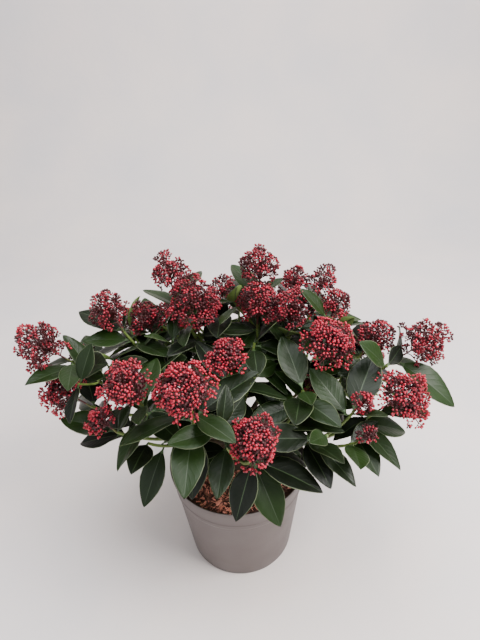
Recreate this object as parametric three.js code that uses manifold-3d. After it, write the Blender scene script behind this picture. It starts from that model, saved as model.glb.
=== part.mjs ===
// A potted red-budded Japanese skimmia: a round nursery pot filled with bark soil, a short trunk,
// its boughs, and the masses of leafy shoots that carry the panicles of flower buds.
// Millimetres, +Z up. The origin is the middle of the pot's flat underside, and -Y is the front.

import * as THREE from 'three';
import { mergeVertices } from 'three/addons/utils/BufferGeometryUtils.js';
import Module from 'manifold-3d';

const wasm = await Module();
wasm.setup();

// Pot
const POT_HEIGHT = 173.5;
const RIM_RADIUS = 105;
const LIP_RADIUS = 103.9;
const LIP_DEPTH = 9;
const WAIST_RADIUS = 100.6;
const WAIST_DEPTH = 23;
const COLLAR_RADIUS = 99.8;
const COLLAR_DEPTH = 38;
const STEP_RADIUS = 98.2;
const STEP_RISE = 3;
const BASE_RADIUS = 83.5;
const BASE_BEVEL = 2.5;
const POT_WALL = 1.8;
const POT_FLOOR = 2.2;
const POT_SIDES = 32;
const DRAIN_HOLES = 6;
const DRAIN_RADIUS = 5;
const DRAIN_CIRCLE = 58;
const DRAIN_SIDES = 8;

// Soil
const GAP = 0.3;
const SOIL_DEPTH = 13;
const SOIL_FALL = 3;
const SOIL_FLAT = 30;
const SOIL_SLACK = 0.5;

// Trunk and boughs
const TRUNK_TOP = 252;
const TRUNK_RADIUS = 11;
const TRUNK_TIP_RADIUS = 6;
const FLARE_RADIUS = 6;
const FLARE_HEIGHT = 14;
const TRUNK_SIDES = 9;
const TRUNK_STEPS = 8;
const BOUGH_RADIUS = 4.6;
const BOUGH_TIP_RADIUS = 2.9;
const BOUGH_SHARE = 0.58;
const BOUGH_SAG = 14;
const BOUGH_BEND = 0.55;
const BOUGH_RISE = 0.1;
const BOUGH_DIP = 4;
const BOUGH_SIDES = 5;
const BOUGH_STEPS = 3;

// Twigs, leaves and panicles
const LEAN = 44;
const LEAN_REACH = 230;
const LEAN_POWER = 1.7;
const STUB_LENGTH = 7;
const KNOT_SHARE = 0.6;
const TWIG_RADIUS = 2.6;
const TWIG_TIP_RADIUS = 1.9;
const TWIG_UPRIGHT = 0.45;
const TWIG_ONWARD = 0.4;
const TWIG_SIDES = 3;
const TWIG_STEPS = 3;
const PEDUNCLE = 13;
const HEAD_RISE = 0.46;
const HEAD_UNDERSIDE = 0.34;
const HEAD_SHARE = 0.53;
const HEAD_ROOM = 0.07;
const STALK_RADIUS = 1.5;
const LEAF_LENGTH = 88;
const LEAF_WIDTH = 0.46;
const LEAF_THICKNESS = 0.014;
const PETIOLE_THICKNESS = 1.6;
const LEAF_FOLD = 0.2;
const LEAF_ARCH = 0.13;
const WIDE_SHARE = 0.42;
const RIB_SHARE = 0.55;
const FORE_SHARE = 0.74;
const LEAF_ROLL = 36;
const LEAF_DROOP = 0.32;
const LEAF_LOWEST = -0.26;
const LEAF_SEAT = 0.57;
const BLADE_START = 0.22;
const WHORL_LEAVES = 6;
const WHORL_BACK = 3;
const WHORL_STEP = 5;
const WHORL_SPREAD = 62;
const WHORL_OPENING = 7;
const WHORL_SIZE = 0.76;
const WHORL_GROWTH = 0.04;
const LOWER_LEAVES = 1;
const LOWER_BACK = 48;
const LOWER_STEP = 9;
const LOWER_SPREAD = 100;
const GOLDEN_ANGLE = 137.5;
const SHOOT_TURN = 61;
const ANGLE_CHANCE = 16;
const SHOWN_FIRST = 4;
const LEAF_CLEARANCE = 0.7;
const SEED = 7;

// Each mass of foliage leaves the trunk on a bough at its own height. Its shoots stand where the
// middle of their panicle is: bearing in degrees from +X, reach from the trunk and height, and the
// panicle's width, which is 0 on a leafy shoot.
const MASSES = [
  {
    name: 'left_far',
    from: 186,
    shoots: [[177, 255, 386, 64], [182, 232, 324, 64], [168, 223, 343, 36]],
  },
  { name: 'left_high', from: 214, shoots: [[161, 180, 411, 54], [150, 140, 388, 50]] },
  { name: 'left_front', from: 200, shoots: [[213, 149, 387, 62], [200, 182, 318, 40]] },
  { name: 'front_left', from: 224, shoots: [[243, 117, 394, 70], [216, 138, 292, 0]] },
  { name: 'front', from: 188, shoots: [[281, 124, 329, 64], [262, 85, 285, 0]] },
  {
    name: 'centre',
    from: TRUNK_TOP,
    shoots: [[259, 36, 389, 52], [41, 42, 366, 0], [300, 38, 330, 0]],
  },
  {
    name: 'front_right',
    from: 206,
    shoots: [[318, 152, 312, 0], [335, 100, 335, 0], [308, 92, 303, 0]],
  },
  {
    name: 'right_front',
    from: 184,
    shoots: [[348, 225, 323, 70], [335, 178, 340, 30], [330, 190, 305, 26]],
  },
  { name: 'right_mid', from: 232, shoots: [[358, 129, 382, 70], [352, 112, 324, 30]] },
  { name: 'right_back', from: 196, shoots: [[12, 211, 356, 54], [3, 262, 362, 64]] },
  {
    name: 'top_right',
    from: 220,
    shoots: [[47, 143, 424, 40], [34, 163, 425, 42], [25, 168, 396, 44]],
  },
  { name: 'top', from: 237, shoots: [[66, 110, 447, 58], [59, 77, 408, 60], [32, 101, 400, 54]] },
  {
    name: 'top_left',
    from: 227,
    shoots: [[135, 120, 451, 52], [132, 75, 415, 74], [97, 100, 417, 38]],
  },
  {
    name: 'back_high',
    from: 212,
    shoots: [[114, 190, 368, 52], [86, 188, 366, 54], [62, 200, 366, 48]],
  },
  { name: 'back_left', from: 184, shoots: [[137, 232, 330, 52], [117, 242, 310, 58]] },
  { name: 'back', from: 192, shoots: [[97, 236, 306, 56], [76, 240, 312, 58]] },
  { name: 'back_right', from: 186, shoots: [[51, 244, 308, 56], [27, 246, 290, 50]] },
];

// The leaves that show at the front and along the outline: the shoot, how far below its tip, the
// bearing and slope in degrees, and the length
const SHOWN_LEAVES = {
  left_far: [
    [0, 3, 281, 7, 66], [0, 10, 232, 16, 76], [0, 40, 144, 60, 72], [2, 0, 130, 15, 86],
    [1, 5, 110, 31, 80],
  ],
  left_high: [[0, 0, 150, 15, 86], [1, 15, 166, -12, 78], [1, 0, 108, 25, 86], [0, 16, 180, 8, 70]],
  left_front: [[0, 0, 84, 21, 78], [1, 10, 172, -16, 72], [0, 10, 130, 10, 80], [1, 0, 168, 14, 80]],
  front_left: [
    [0, 10, 28, 23, 100], [0, 0, 198, -3, 92], [0, 25, 252, -30, 72], [0, 40, 268, -37, 82],
    [0, 0, 316, 4, 70], [1, 0, 264, 22, 64], [1, 24, 243, -34, 78],
  ],
  front: [
    [0, 0, 14, -22, 84], [0, 6, 338, -22, 92], [0, 4, 302, -46, 88], [0, 0, 247, -31, 74],
    [1, 0, 244, -6, 70],
  ],
  centre: [[0, 10, 126, 28, 80], [1, 4, 32, -20, 76]],
  front_right: [
    [1, 0, 92, 39, 80], [1, 10, 257, 24, 78], [0, 28, 312, -16, 74], [0, 40, 30, -10, 80],
    [0, 40, 66, 4, 80], [0, 40, 300, 24, 74], [2, 0, 126, 24, 76], [2, 0, 60, 20, 84],
    [2, 4, 20, 5, 82], [0, 46, 292, -6, 70],
  ],
  right_front: [
    [1, 0, 40, 36, 90], [1, 8, 128, 18, 80], [1, 4, 160, 2, 60], [0, 0, 8, 12, 84],
    [0, 28, 304, -8, 80], [0, 40, 288, -8, 76], [0, 8, 200, -16, 60],
  ],
  right_mid: [[0, 0, 48, 26, 80]],
  right_back: [[0, 0, 48, 36, 84], [1, 0, 334, -9, 104]],
  top: [[0, 35, 156, 37, 82], [0, 8, 120, 32, 76]],
  top_left: [[1, 30, 48, 37, 78], [0, 0, 47, 11, 76], [0, 16, 144, 16, 70]],
};

// The low front of the crown is open and shows the soil: no leaf of a spiral ends both in front
// of this depth and below this height. The low left is open too, in all three directions.
const OPEN_DEPTH = -85;
const OPEN_HEIGHT = 300;
const LEFT_OPEN = { x: -125, y: -40, z: 300 };

const COLOURS = {
  pot: { color: 0x8a8280, roughness: 0.55 },
  soil: { color: 0x5b3526, roughness: 0.95 },
  bark: { color: 0x8d7a5c, roughness: 0.85 },
  foliage: { color: 0x2f4a32, roughness: 0.5 },
};

const group = new THREE.Group();

function addPart(name, geometry, finish) {
  const material = new THREE.MeshStandardMaterial({ metalness: 0, ...finish });
  const mesh = new THREE.Mesh(geometry, material);
  mesh.name = name;
  group.add(mesh);
}

// Solids

function bare(geometry) {
  return geometry.clone().deleteAttribute('normal').deleteAttribute('uv');
}

function toSolid(geometry) {
  const merged = mergeVertices(bare(geometry), 1e-4);
  return new wasm.Manifold(new wasm.Mesh({
    numProp: 3,
    vertProperties: new Float32Array(merged.attributes.position.array),
    triVerts: new Uint32Array(merged.index.array),
  }));
}

// The one large body of a fused solid, without loose scraps or sealed hollows
function outerBody(solid) {
  return solid.decompose().reduce((best, one) => (one.volume() > best.volume() ? one : best));
}

function toGeometry(solid) {
  const mesh = solid.getMesh();
  const geometry = new THREE.BufferGeometry();
  geometry.setAttribute('position', new THREE.BufferAttribute(mesh.vertProperties, 3));
  geometry.setIndex(new THREE.BufferAttribute(mesh.triVerts, 1));
  geometry.computeVertexNormals();
  return geometry;
}

function fromFaces(points, faces) {
  const geometry = new THREE.BufferGeometry();
  const numbers = points.flatMap((p) => p.toArray());
  geometry.setAttribute('position', new THREE.Float32BufferAttribute(numbers, 3));
  geometry.setIndex(faces.flat());
  return toSolid(geometry);
}

function turned(profile, sides) {
  const points = profile.map(([radius, height]) => new THREE.Vector2(radius, height));
  return new THREE.LatheGeometry(points, sides).rotateX(Math.PI / 2);
}

// A direction square to another one, lying level where that can be
function acrossOf(along) {
  const side = Math.abs(along.z) < 0.9 ? new THREE.Vector3(0, 0, 1) : new THREE.Vector3(1, 0, 0);
  return side.cross(along).normalize();
}

// A round limb: a cylinder bent along a curve, with its radius given along the way
function limb(curve, radiusAt, sides, steps) {
  const geometry = new THREE.CylinderGeometry(1, 1, 1, sides, steps);
  const side = acrossOf(curve.getPoint(1).sub(curve.getPoint(0)).normalize());
  const position = geometry.attributes.position;
  for (let i = 0; i < position.count; i += 1) {
    const share = position.getY(i) + 0.5;
    const radius = radiusAt(share);
    const along = curve.getTangent(share);
    const over = side.clone().cross(along).normalize();
    const place = curve.getPoint(share);
    place.addScaledVector(along.clone().cross(over), position.getX(i) * radius);
    place.addScaledVector(over, position.getZ(i) * radius);
    position.setXYZ(i, place.x, place.y, place.z);
  }
  return toSolid(geometry);
}

function tapering(first, last) {
  return (share) => first + (last - first) * share;
}

// Seeded numbers between 0 and 1, the same ones for the same seed
function seeded(seed) {
  let state = seed >>> 0;
  return () => {
    state = (state + 0x6d2b79f5) >>> 0;
    let mixed = Math.imul(state ^ (state >>> 15), state | 1);
    mixed ^= mixed + Math.imul(mixed ^ (mixed >>> 7), mixed | 61);
    return ((mixed ^ (mixed >>> 14)) >>> 0) / 4294967296;
  };
}

function polar(bearing, reach, height) {
  const angle = THREE.MathUtils.degToRad(bearing);
  return new THREE.Vector3(Math.cos(angle) * reach, Math.sin(angle) * reach, height);
}

// The twelve corners and twenty faces that every panicle is built on

const BALL = mergeVertices(bare(new THREE.IcosahedronGeometry(1, 0)), 1e-4);
const HEAD_CORNERS = Array.from({ length: BALL.attributes.position.count }, (_, i) => (
  new THREE.Vector3().fromBufferAttribute(BALL.attributes.position, i)
));
const HEAD_FACES = Array.from({ length: BALL.index.count / 3 }, (_, i) => (
  [BALL.index.getX(3 * i), BALL.index.getX(3 * i + 1), BALL.index.getX(3 * i + 2)]
));

// Closed shapes that growth keeps clear of: points, faces and edges, with a bounding ball

const BAR_FACES = [
  [0, 2, 1], [0, 3, 2], [4, 5, 6], [4, 6, 7], [0, 1, 5], [0, 5, 4],
  [1, 2, 6], [1, 6, 5], [2, 3, 7], [2, 7, 6], [3, 0, 4], [3, 4, 7],
];

function edgesOf(faces) {
  const edges = new Map();
  for (const [a, b, c] of faces) {
    for (const [from, to] of [[a, b], [b, c], [c, a]]) {
      edges.set(Math.min(from, to) * 1000 + Math.max(from, to), [from, to]);
    }
  }
  return [...edges.values()];
}

function shapeOf(points, faces, mass, shoot) {
  const middle = new THREE.Vector3();
  points.forEach((p) => middle.addScaledVector(p, 1 / points.length));
  const radius = Math.max(...points.map((p) => p.distanceTo(middle)));
  return { points, faces, edges: edgesOf(faces), middle, radius, mass, shoot };
}

// A square bar round a stretch of limb
function barShape(from, to, radius, mass, shoot) {
  const along = to.clone().sub(from).normalize();
  const across = acrossOf(along);
  const over = along.clone().cross(across);
  const points = [];
  for (const end of [from, to]) {
    for (const [a, b] of [[1, 1], [-1, 1], [-1, -1], [1, -1]]) {
      points.push(end.clone().addScaledVector(across, a * radius).addScaledVector(over, b * radius));
    }
  }
  return shapeOf(points, BAR_FACES, mass, shoot);
}

function crossesFace(from, to, a, b, c) {
  const way = to.clone().sub(from);
  const ab = b.clone().sub(a);
  const ac = c.clone().sub(a);
  const tilt = way.clone().cross(ac);
  const scale = ab.dot(tilt);
  if (Math.abs(scale) < 1e-12) return false;
  const offset = from.clone().sub(a);
  const u = offset.dot(tilt) / scale;
  if (u < 0 || u > 1) return false;
  const turn = offset.cross(ab);
  const v = way.dot(turn) / scale;
  if (v < 0 || u + v > 1) return false;
  const share = ac.dot(turn) / scale;
  return share >= 0 && share <= 1;
}

function edgesCross(one, other) {
  return one.edges.some(([from, to]) => other.faces.some(([a, b, c]) => crossesFace(
    one.points[from], one.points[to], other.points[a], other.points[b], other.points[c],
  )));
}

function touches(one, other) {
  if (one.middle.distanceTo(other.middle) > one.radius + other.radius) return false;
  return edgesCross(one, other) || edgesCross(other, one);
}

// Pot and soil

const LIP = POT_HEIGHT - LIP_DEPTH;
const WAIST = POT_HEIGHT - WAIST_DEPTH;
const COLLAR = POT_HEIGHT - COLLAR_DEPTH;
const SOIL_TOP = POT_HEIGHT - SOIL_DEPTH;

function makePot() {
  const shell = toSolid(turned([
    [0, 0], [BASE_RADIUS - BASE_BEVEL, 0], [BASE_RADIUS, BASE_BEVEL],
    [STEP_RADIUS, COLLAR - STEP_RISE], [COLLAR_RADIUS, COLLAR], [WAIST_RADIUS, WAIST],
    [LIP_RADIUS, LIP], [RIM_RADIUS, POT_HEIGHT],
    [RIM_RADIUS - POT_WALL, POT_HEIGHT], [LIP_RADIUS - POT_WALL, LIP],
    [WAIST_RADIUS - POT_WALL, WAIST], [STEP_RADIUS - POT_WALL, COLLAR - STEP_RISE],
    [BASE_RADIUS - POT_WALL, POT_FLOOR], [0, POT_FLOOR],
  ], POT_SIDES));
  const drains = [];
  for (let i = 0; i < DRAIN_HOLES; i += 1) {
    const drain = new THREE.CylinderGeometry(DRAIN_RADIUS, DRAIN_RADIUS, POT_FLOOR * 3, DRAIN_SIDES);
    const place = polar((360 / DRAIN_HOLES) * i, DRAIN_CIRCLE, POT_FLOOR / 2);
    drains.push(toSolid(drain.rotateX(Math.PI / 2).translate(place.x, place.y, place.z)));
  }
  return shell.subtract(wasm.Manifold.union(drains));
}

function makeSoil() {
  const inset = POT_WALL + SOIL_SLACK;
  return toSolid(turned([
    [0, POT_FLOOR + GAP], [BASE_RADIUS - inset, POT_FLOOR + GAP],
    [STEP_RADIUS - inset, COLLAR - STEP_RISE], [WAIST_RADIUS - inset, WAIST],
    [WAIST_RADIUS - inset, SOIL_TOP - SOIL_FALL], [SOIL_FLAT, SOIL_TOP], [0, SOIL_TOP],
  ], POT_SIDES));
}

// Trunk and boughs

const trunkCurve = new THREE.QuadraticBezierCurve3(
  new THREE.Vector3(0, 0, SOIL_TOP + GAP),
  new THREE.Vector3(0, 0, (SOIL_TOP + TRUNK_TOP) / 2),
  new THREE.Vector3(-1, 1, TRUNK_TOP),
);

function trunkRadius(share, extra = 0) {
  const height = share * (TRUNK_TOP - SOIL_TOP);
  const flare = FLARE_RADIUS * Math.max(0, 1 - height / FLARE_HEIGHT) ** 2;
  return tapering(TRUNK_RADIUS, TRUNK_TIP_RADIUS)(share) + flare + extra;
}

// Shoots stand upright in the middle of the crown and lean out more and more towards its edge
function headAxis(bearing, reach) {
  const lean = THREE.MathUtils.degToRad(LEAN * (reach / LEAN_REACH) ** LEAN_POWER);
  return polar(bearing, Math.sin(lean), Math.cos(lean));
}

// A shoot: its panicle's middle, the way it points, and the tip of its leafy twig below
function plotShoot([bearing, reach, height, width], mass, index) {
  const middle = polar(bearing, reach, height);
  const axis = headAxis(bearing, reach);
  const tip = middle.clone().addScaledVector(axis, -(width * HEAD_RISE + (width > 0 ? PEDUNCLE : 0)));
  return { middle, axis, tip, width, mass, id: mass * 10 + index };
}

function plotMass({ name, from, shoots: rows }, mass) {
  const shoots = rows.map((row, index) => plotShoot(row, mass, index));
  const target = new THREE.Vector3();
  shoots.forEach((shoot) => target.addScaledVector(shoot.tip, 1 / shoots.length));
  const start = trunkCurve.getPoint(Math.min(1, (from - SOIL_TOP) / (TRUNK_TOP - SOIL_TOP)));
  const onTop = from >= TRUNK_TOP;
  const fork = onTop ? start.clone() : start.clone().lerp(target, BOUGH_SHARE);
  if (!onTop) fork.z -= BOUGH_SAG;
  const rise = start.clone().lerp(fork, BOUGH_BEND);
  rise.z += (fork.z - start.z) * BOUGH_RISE - BOUGH_DIP;
  const bough = new THREE.QuadraticBezierCurve3(start, rise, fork);
  const along = onTop ? new THREE.Vector3(0, 0, 1) : fork.clone().sub(rise).normalize();
  const root = fork.clone().addScaledVector(along, GAP);
  const knot = root.clone().addScaledVector(along, STUB_LENGTH * KNOT_SHARE);
  for (const shoot of shoots) {
    const span = shoot.tip.distanceTo(knot);
    const bend = shoot.tip.clone().addScaledVector(shoot.axis, -span * TWIG_UPRIGHT);
    bend.lerp(knot.clone().addScaledVector(along, span * TWIG_ONWARD), TWIG_ONWARD);
    shoot.twig = new THREE.QuadraticBezierCurve3(knot, bend, shoot.tip);
  }
  return { name, mass, shoots, onTop, bough, along, root };
}

// Leaves

const LEAF_FACES = [
  [0, 8, 2], [8, 4, 2], [8, 6, 4], [8, 5, 6], [8, 3, 5], [8, 0, 3],
  [1, 2, 7], [7, 2, 4], [7, 4, 6], [7, 6, 5], [7, 5, 3], [7, 3, 1],
  [0, 2, 1], [0, 1, 3],
];

// A leaf's outline bent down along its length and folded up along its midrib. The points are the
// petiole's top and bottom, left and right of the wide part, left and right of the fore part, the
// point, and the midrib's underside and upper side.
function leafPoints(leaf, extra, rootShare) {
  const { root, along, over, length, width, arch } = leaf;
  const across = over.clone().cross(along);
  const place = (share, side, lift) => root.clone()
    .addScaledVector(along, length * share)
    .addScaledVector(over, lift - arch * length * share * share)
    .addScaledVector(across, side);
  const half = width / 2 + extra;
  const petiole = PETIOLE_THICKNESS / 2 + extra;
  const fold = LEAF_FOLD * half;
  const rib = (LEAF_THICKNESS * length) / 2 + extra;
  return [
    place(rootShare, 0, petiole), place(rootShare, 0, -petiole),
    place(WIDE_SHARE, half, fold), place(WIDE_SHARE, -half, fold),
    place(FORE_SHARE, half * FORE_SHARE, fold), place(FORE_SHARE, -half * FORE_SHARE, fold),
    place(1 + extra / length, 0, 0), place(RIB_SHARE, 0, -rib), place(RIB_SHARE, 0, rib),
  ];
}

// The place on a twig that lies a given way back from its tip
function backFromTip(twig, way) {
  let place = twig.getPoint(1);
  let walked = 0;
  for (let i = TWIG_STEPS - 1; i >= 0; i -= 1) {
    const next = twig.getPoint(i / TWIG_STEPS);
    const step = next.distanceTo(place);
    if (walked + step >= way) return place.lerp(next, (way - walked) / step);
    walked += step;
    place = next;
  }
  return place;
}

function makeLeaf(shoot, back, along, over, length, chance) {
  const face = over.clone().addScaledVector(along, -over.dot(along)).normalize();
  face.applyAxisAngle(along, THREE.MathUtils.degToRad((chance[3] - 0.5) * LEAF_ROLL));
  return {
    root: backFromTip(shoot.twig, back).addScaledVector(along, LEAF_SEAT),
    along,
    over: face,
    length,
    width: length * LEAF_WIDTH * (0.9 + 0.2 * chance[5]),
    arch: LEAF_ARCH * (0.6 + 0.8 * chance[6]),
    mass: shoot.mass,
    shoot: shoot.id,
  };
}

// A leaf that shows, turned and tilted by a nudge
function plotShownLeaf(shoot, [, back, bearing, slope, length], chance, nudge) {
  const rise = THREE.MathUtils.degToRad(slope + nudge.tilt);
  const along = polar(bearing + nudge.turn, Math.cos(rise), Math.sin(rise));
  return makeLeaf(shoot, back, along, new THREE.Vector3(0, 0, 1), length * nudge.size, chance);
}

// The leaf that a shoot grows at its place in the spiral, turned and tilted by a nudge
function plotSpiralLeaf(shoot, order, chance, nudge) {
  const lower = order >= WHORL_LEAVES;
  const rank = lower ? order - WHORL_LEAVES : order;
  const back = lower ? LOWER_BACK + rank * LOWER_STEP : WHORL_BACK + rank * WHORL_STEP;
  const spread = lower ? LOWER_SPREAD : WHORL_SPREAD + rank * WHORL_OPENING;
  const size = lower ? 1 : WHORL_SIZE + rank * WHORL_GROWTH;
  const turn = GOLDEN_ANGLE * order + shoot.id * SHOOT_TURN + (chance[0] - 0.5) * ANGLE_CHANCE;
  const azimuth = THREE.MathUtils.degToRad(turn + nudge.turn);
  const tilt = THREE.MathUtils.degToRad(spread + (chance[1] - 0.5) * ANGLE_CHANCE + nudge.tilt);
  const across = acrossOf(shoot.axis);
  const over = shoot.axis.clone().cross(across);
  const out = across.multiplyScalar(Math.cos(azimuth)).addScaledVector(over, Math.sin(azimuth));
  const along = shoot.axis.clone().multiplyScalar(Math.cos(tilt)).addScaledVector(out, Math.sin(tilt));
  along.z = Math.max(along.z - LEAF_DROOP * (0.4 + 0.6 * chance[2]), LEAF_LOWEST);
  const length = LEAF_LENGTH * size * (0.9 + 0.2 * chance[4]) * nudge.size;
  return makeLeaf(shoot, back, along.normalize(), shoot.axis, length, chance);
}

const NUDGE_TURNS = [
  [0, 0], [16, 0], [-16, 0], [0, 16], [0, -16], [30, 8], [-30, 8], [24, -14], [-24, -14],
];
const NUDGES = [1, 0.82].flatMap((size) => NUDGE_TURNS.map(([turn, tilt]) => ({ turn, tilt, size })));

// Leaves of one mass may meet where they leave the twig, and are clear of each other further out
function isClear(leaf, shapes) {
  const whole = shapeOf(leafPoints(leaf, LEAF_CLEARANCE, 0), LEAF_FACES);
  const blade = shapeOf(leafPoints(leaf, LEAF_CLEARANCE, BLADE_START), LEAF_FACES);
  return shapes.every((shape) => {
    if (shape.twigOf === leaf.shoot) return true;
    return shape.mass === leaf.mass ? !touches(blade, shape.blade ?? shape) : !touches(whole, shape);
  });
}

// Whether a leaf ends in the open front of the crown
function endsInFront({ root, along, length }) {
  const tip = root.clone().addScaledVector(along, length);
  const atLeft = Object.entries(LEFT_OPEN).every(([axis, limit]) => tip[axis] < limit);
  return atLeft || (tip.y < OPEN_DEPTH && tip.z < OPEN_HEIGHT);
}

function growLeaf(plot, shapes, leaves, keepsBack) {
  const leaf = NUDGES.map(plot)
    .filter((tried) => !keepsBack || !endsInFront(tried))
    .find((tried) => isClear(tried, shapes));
  if (!leaf) return;
  leaves.push(leaf);
  const shape = shapeOf(leafPoints(leaf, 0, 0), LEAF_FACES, leaf.mass, leaf.shoot);
  shape.blade = shapeOf(leafPoints(leaf, 0, BLADE_START), LEAF_FACES, leaf.mass, leaf.shoot);
  shapes.push(shape);
}

function growLeaves(masses, shapes) {
  const leaves = [];
  const shoots = masses.flatMap((mass) => mass.shoots);
  const chances = (shoot, order) => (
    Array.from({ length: 7 }, seeded(SEED * 100003 + shoot.id * 101 + order))
  );
  for (const mass of masses) {
    (SHOWN_LEAVES[mass.name] ?? []).forEach((row, index) => {
      const shoot = mass.shoots[row[0]];
      const chance = chances(shoot, 50 + index);
      growLeaf((nudge) => plotShownLeaf(shoot, row, chance, nudge), shapes, leaves, false);
    });
  }
  const shown = (shoot) => leaves.filter((leaf) => leaf.shoot === shoot.id).length;
  const first = new Map(shoots.map((shoot) => [shoot.id, Math.min(shown(shoot), SHOWN_FIRST)]));
  for (let order = 0; order < WHORL_LEAVES + LOWER_LEAVES; order += 1) {
    for (const shoot of shoots.filter(({ id }) => order >= first.get(id))) {
      const chance = chances(shoot, order);
      growLeaf((nudge) => plotSpiralLeaf(shoot, order, chance, nudge), shapes, leaves, true);
    }
  }
  return leaves;
}

// Panicles

// A panicle's twelve outer knots of buds, at a share of its width, with its underside flatter
function knots({ middle, axis, width }, share) {
  const across = acrossOf(axis);
  const over = axis.clone().cross(across);
  return HEAD_CORNERS.map((corner) => middle.clone()
    .addScaledVector(across, corner.x * width * share)
    .addScaledVector(over, corner.y * width * share)
    .addScaledVector(axis, corner.z * width * share * 2 * (corner.z < 0 ? HEAD_UNDERSIDE : HEAD_RISE)));
}

function panicle(shoot) {
  const stalk = new THREE.LineCurve3(shoot.tip.clone().addScaledVector(shoot.axis, -2), shoot.middle);
  return [
    limb(stalk, tapering(TWIG_TIP_RADIUS, STALK_RADIUS), TWIG_SIDES, 1),
    fromFaces(knots(shoot, HEAD_SHARE), HEAD_FACES),
  ];
}

function headShape(shoot) {
  return shapeOf(knots(shoot, HEAD_SHARE + HEAD_ROOM), HEAD_FACES, shoot.mass, shoot.id);
}

// What leaves keep clear of: pot, trunk, boughs, twigs and panicles

const BAR_STEPS = 3;
const DRUM_SIDES = 24;

function limbShapes(curve, radius, mass, shoot) {
  const shapes = [];
  for (let i = 0; i < BAR_STEPS; i += 1) {
    const from = curve.getPoint(i / BAR_STEPS);
    shapes.push(barShape(from, curve.getPoint((i + 1) / BAR_STEPS), radius, mass, shoot));
  }
  return shapes;
}

function potShape() {
  const points = [];
  const faces = [];
  for (const [radius, height] of [[BASE_RADIUS, 0], [RIM_RADIUS + 1.5, POT_HEIGHT + 0.5]]) {
    for (let i = 0; i < DRUM_SIDES; i += 1) points.push(polar((360 / DRUM_SIDES) * i, radius, height));
  }
  points.push(new THREE.Vector3(0, 0, 0), new THREE.Vector3(0, 0, POT_HEIGHT + 0.5));
  for (let i = 0; i < DRUM_SIDES; i += 1) {
    const next = (i + 1) % DRUM_SIDES;
    faces.push([i, next, DRUM_SIDES + next], [i, DRUM_SIDES + next, DRUM_SIDES + i]);
    faces.push([2 * DRUM_SIDES, next, i], [2 * DRUM_SIDES + 1, DRUM_SIDES + i, DRUM_SIDES + next]);
  }
  return shapeOf(points, faces);
}

function plotShapes(masses) {
  const shapes = [potShape(), ...limbShapes(trunkCurve, TRUNK_RADIUS)];
  for (const mass of masses) {
    if (!mass.onTop) shapes.push(...limbShapes(mass.bough, BOUGH_RADIUS));
    for (const shoot of mass.shoots) {
      const twig = limbShapes(shoot.twig, TWIG_RADIUS, mass.mass, shoot.id);
      if (shoot.width > 0) {
        twig.push(barShape(shoot.tip, shoot.middle, TWIG_TIP_RADIUS, mass.mass, shoot.id));
      }
      twig.forEach((shape) => { shape.twigOf = shoot.id; });
      shapes.push(...twig);
      if (shoot.width > 0) shapes.push(headShape(shoot));
    }
  }
  return shapes;
}

// The whole plant

const masses = MASSES.map(plotMass);
const leaves = growLeaves(masses, plotShapes(masses));

addPart('pot', toGeometry(makePot()), COLOURS.pot);
addPart('soil', toGeometry(makeSoil()), COLOURS.soil);
const trunk = limb(trunkCurve, (share) => trunkRadius(share), TRUNK_SIDES, TRUNK_STEPS);
addPart('trunk', toGeometry(trunk), COLOURS.bark);

const trunkRoom = limb(
  new THREE.QuadraticBezierCurve3(
    trunkCurve.v0.clone().setZ(SOIL_TOP - 5),
    trunkCurve.v1,
    trunkCurve.v2.clone().setZ(TRUNK_TOP + GAP),
  ),
  (share) => trunkRadius(share, GAP * 1.5),
  TRUNK_SIDES,
  TRUNK_STEPS,
);

for (const mass of masses) {
  if (!mass.onTop) {
    const whole = limb(mass.bough, tapering(BOUGH_RADIUS, BOUGH_TIP_RADIUS), BOUGH_SIDES, BOUGH_STEPS);
    addPart(`bough_${mass.name}`, toGeometry(whole.subtract(trunkRoom)), COLOURS.bark);
  }
  const stubEnd = mass.root.clone().addScaledVector(mass.along, STUB_LENGTH);
  const stub = new THREE.LineCurve3(mass.root, stubEnd);
  const solids = [limb(stub, () => BOUGH_TIP_RADIUS, BOUGH_SIDES, 1)];
  for (const shoot of mass.shoots) {
    solids.push(limb(shoot.twig, tapering(TWIG_RADIUS, TWIG_TIP_RADIUS), TWIG_SIDES, TWIG_STEPS));
    if (shoot.width > 0) solids.push(...panicle(shoot));
  }
  for (const leaf of leaves.filter((one) => one.mass === mass.mass)) {
    solids.push(fromFaces(leafPoints(leaf, 0, 0), LEAF_FACES));
  }
  addPart(`foliage_${mass.name}`, toGeometry(outerBody(wasm.Manifold.union(solids))), COLOURS.foliage);
}

export default group;
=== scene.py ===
"""A potted red-budded Japanese skimmia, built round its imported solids.

The plant grows by the rule of its solids and carries it on to finer leaves and side twigs.
Growth is worked out in millimetres with +Z up. The origin is the middle of the pot's underside.
"""

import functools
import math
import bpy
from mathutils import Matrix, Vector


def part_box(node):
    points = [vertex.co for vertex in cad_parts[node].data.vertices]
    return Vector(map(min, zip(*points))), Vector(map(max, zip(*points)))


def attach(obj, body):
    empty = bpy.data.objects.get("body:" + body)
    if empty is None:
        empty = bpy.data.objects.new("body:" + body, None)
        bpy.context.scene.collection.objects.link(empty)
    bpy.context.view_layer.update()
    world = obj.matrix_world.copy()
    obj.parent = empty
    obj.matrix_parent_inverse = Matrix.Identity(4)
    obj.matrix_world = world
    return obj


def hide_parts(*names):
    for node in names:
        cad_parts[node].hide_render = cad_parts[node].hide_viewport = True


bl_info = {
    "name": "Potted Skimmia",
    "version": (1, 0, 0),
    "blender": (4, 5, 0),
    "location": "3D View > Sidebar > Skimmia",
    "description": "Builds a potted Japanese skimmia with its leaves, its panicles of buds and its pot",
    "category": "Add Mesh",
}

from types import SimpleNamespace

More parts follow.
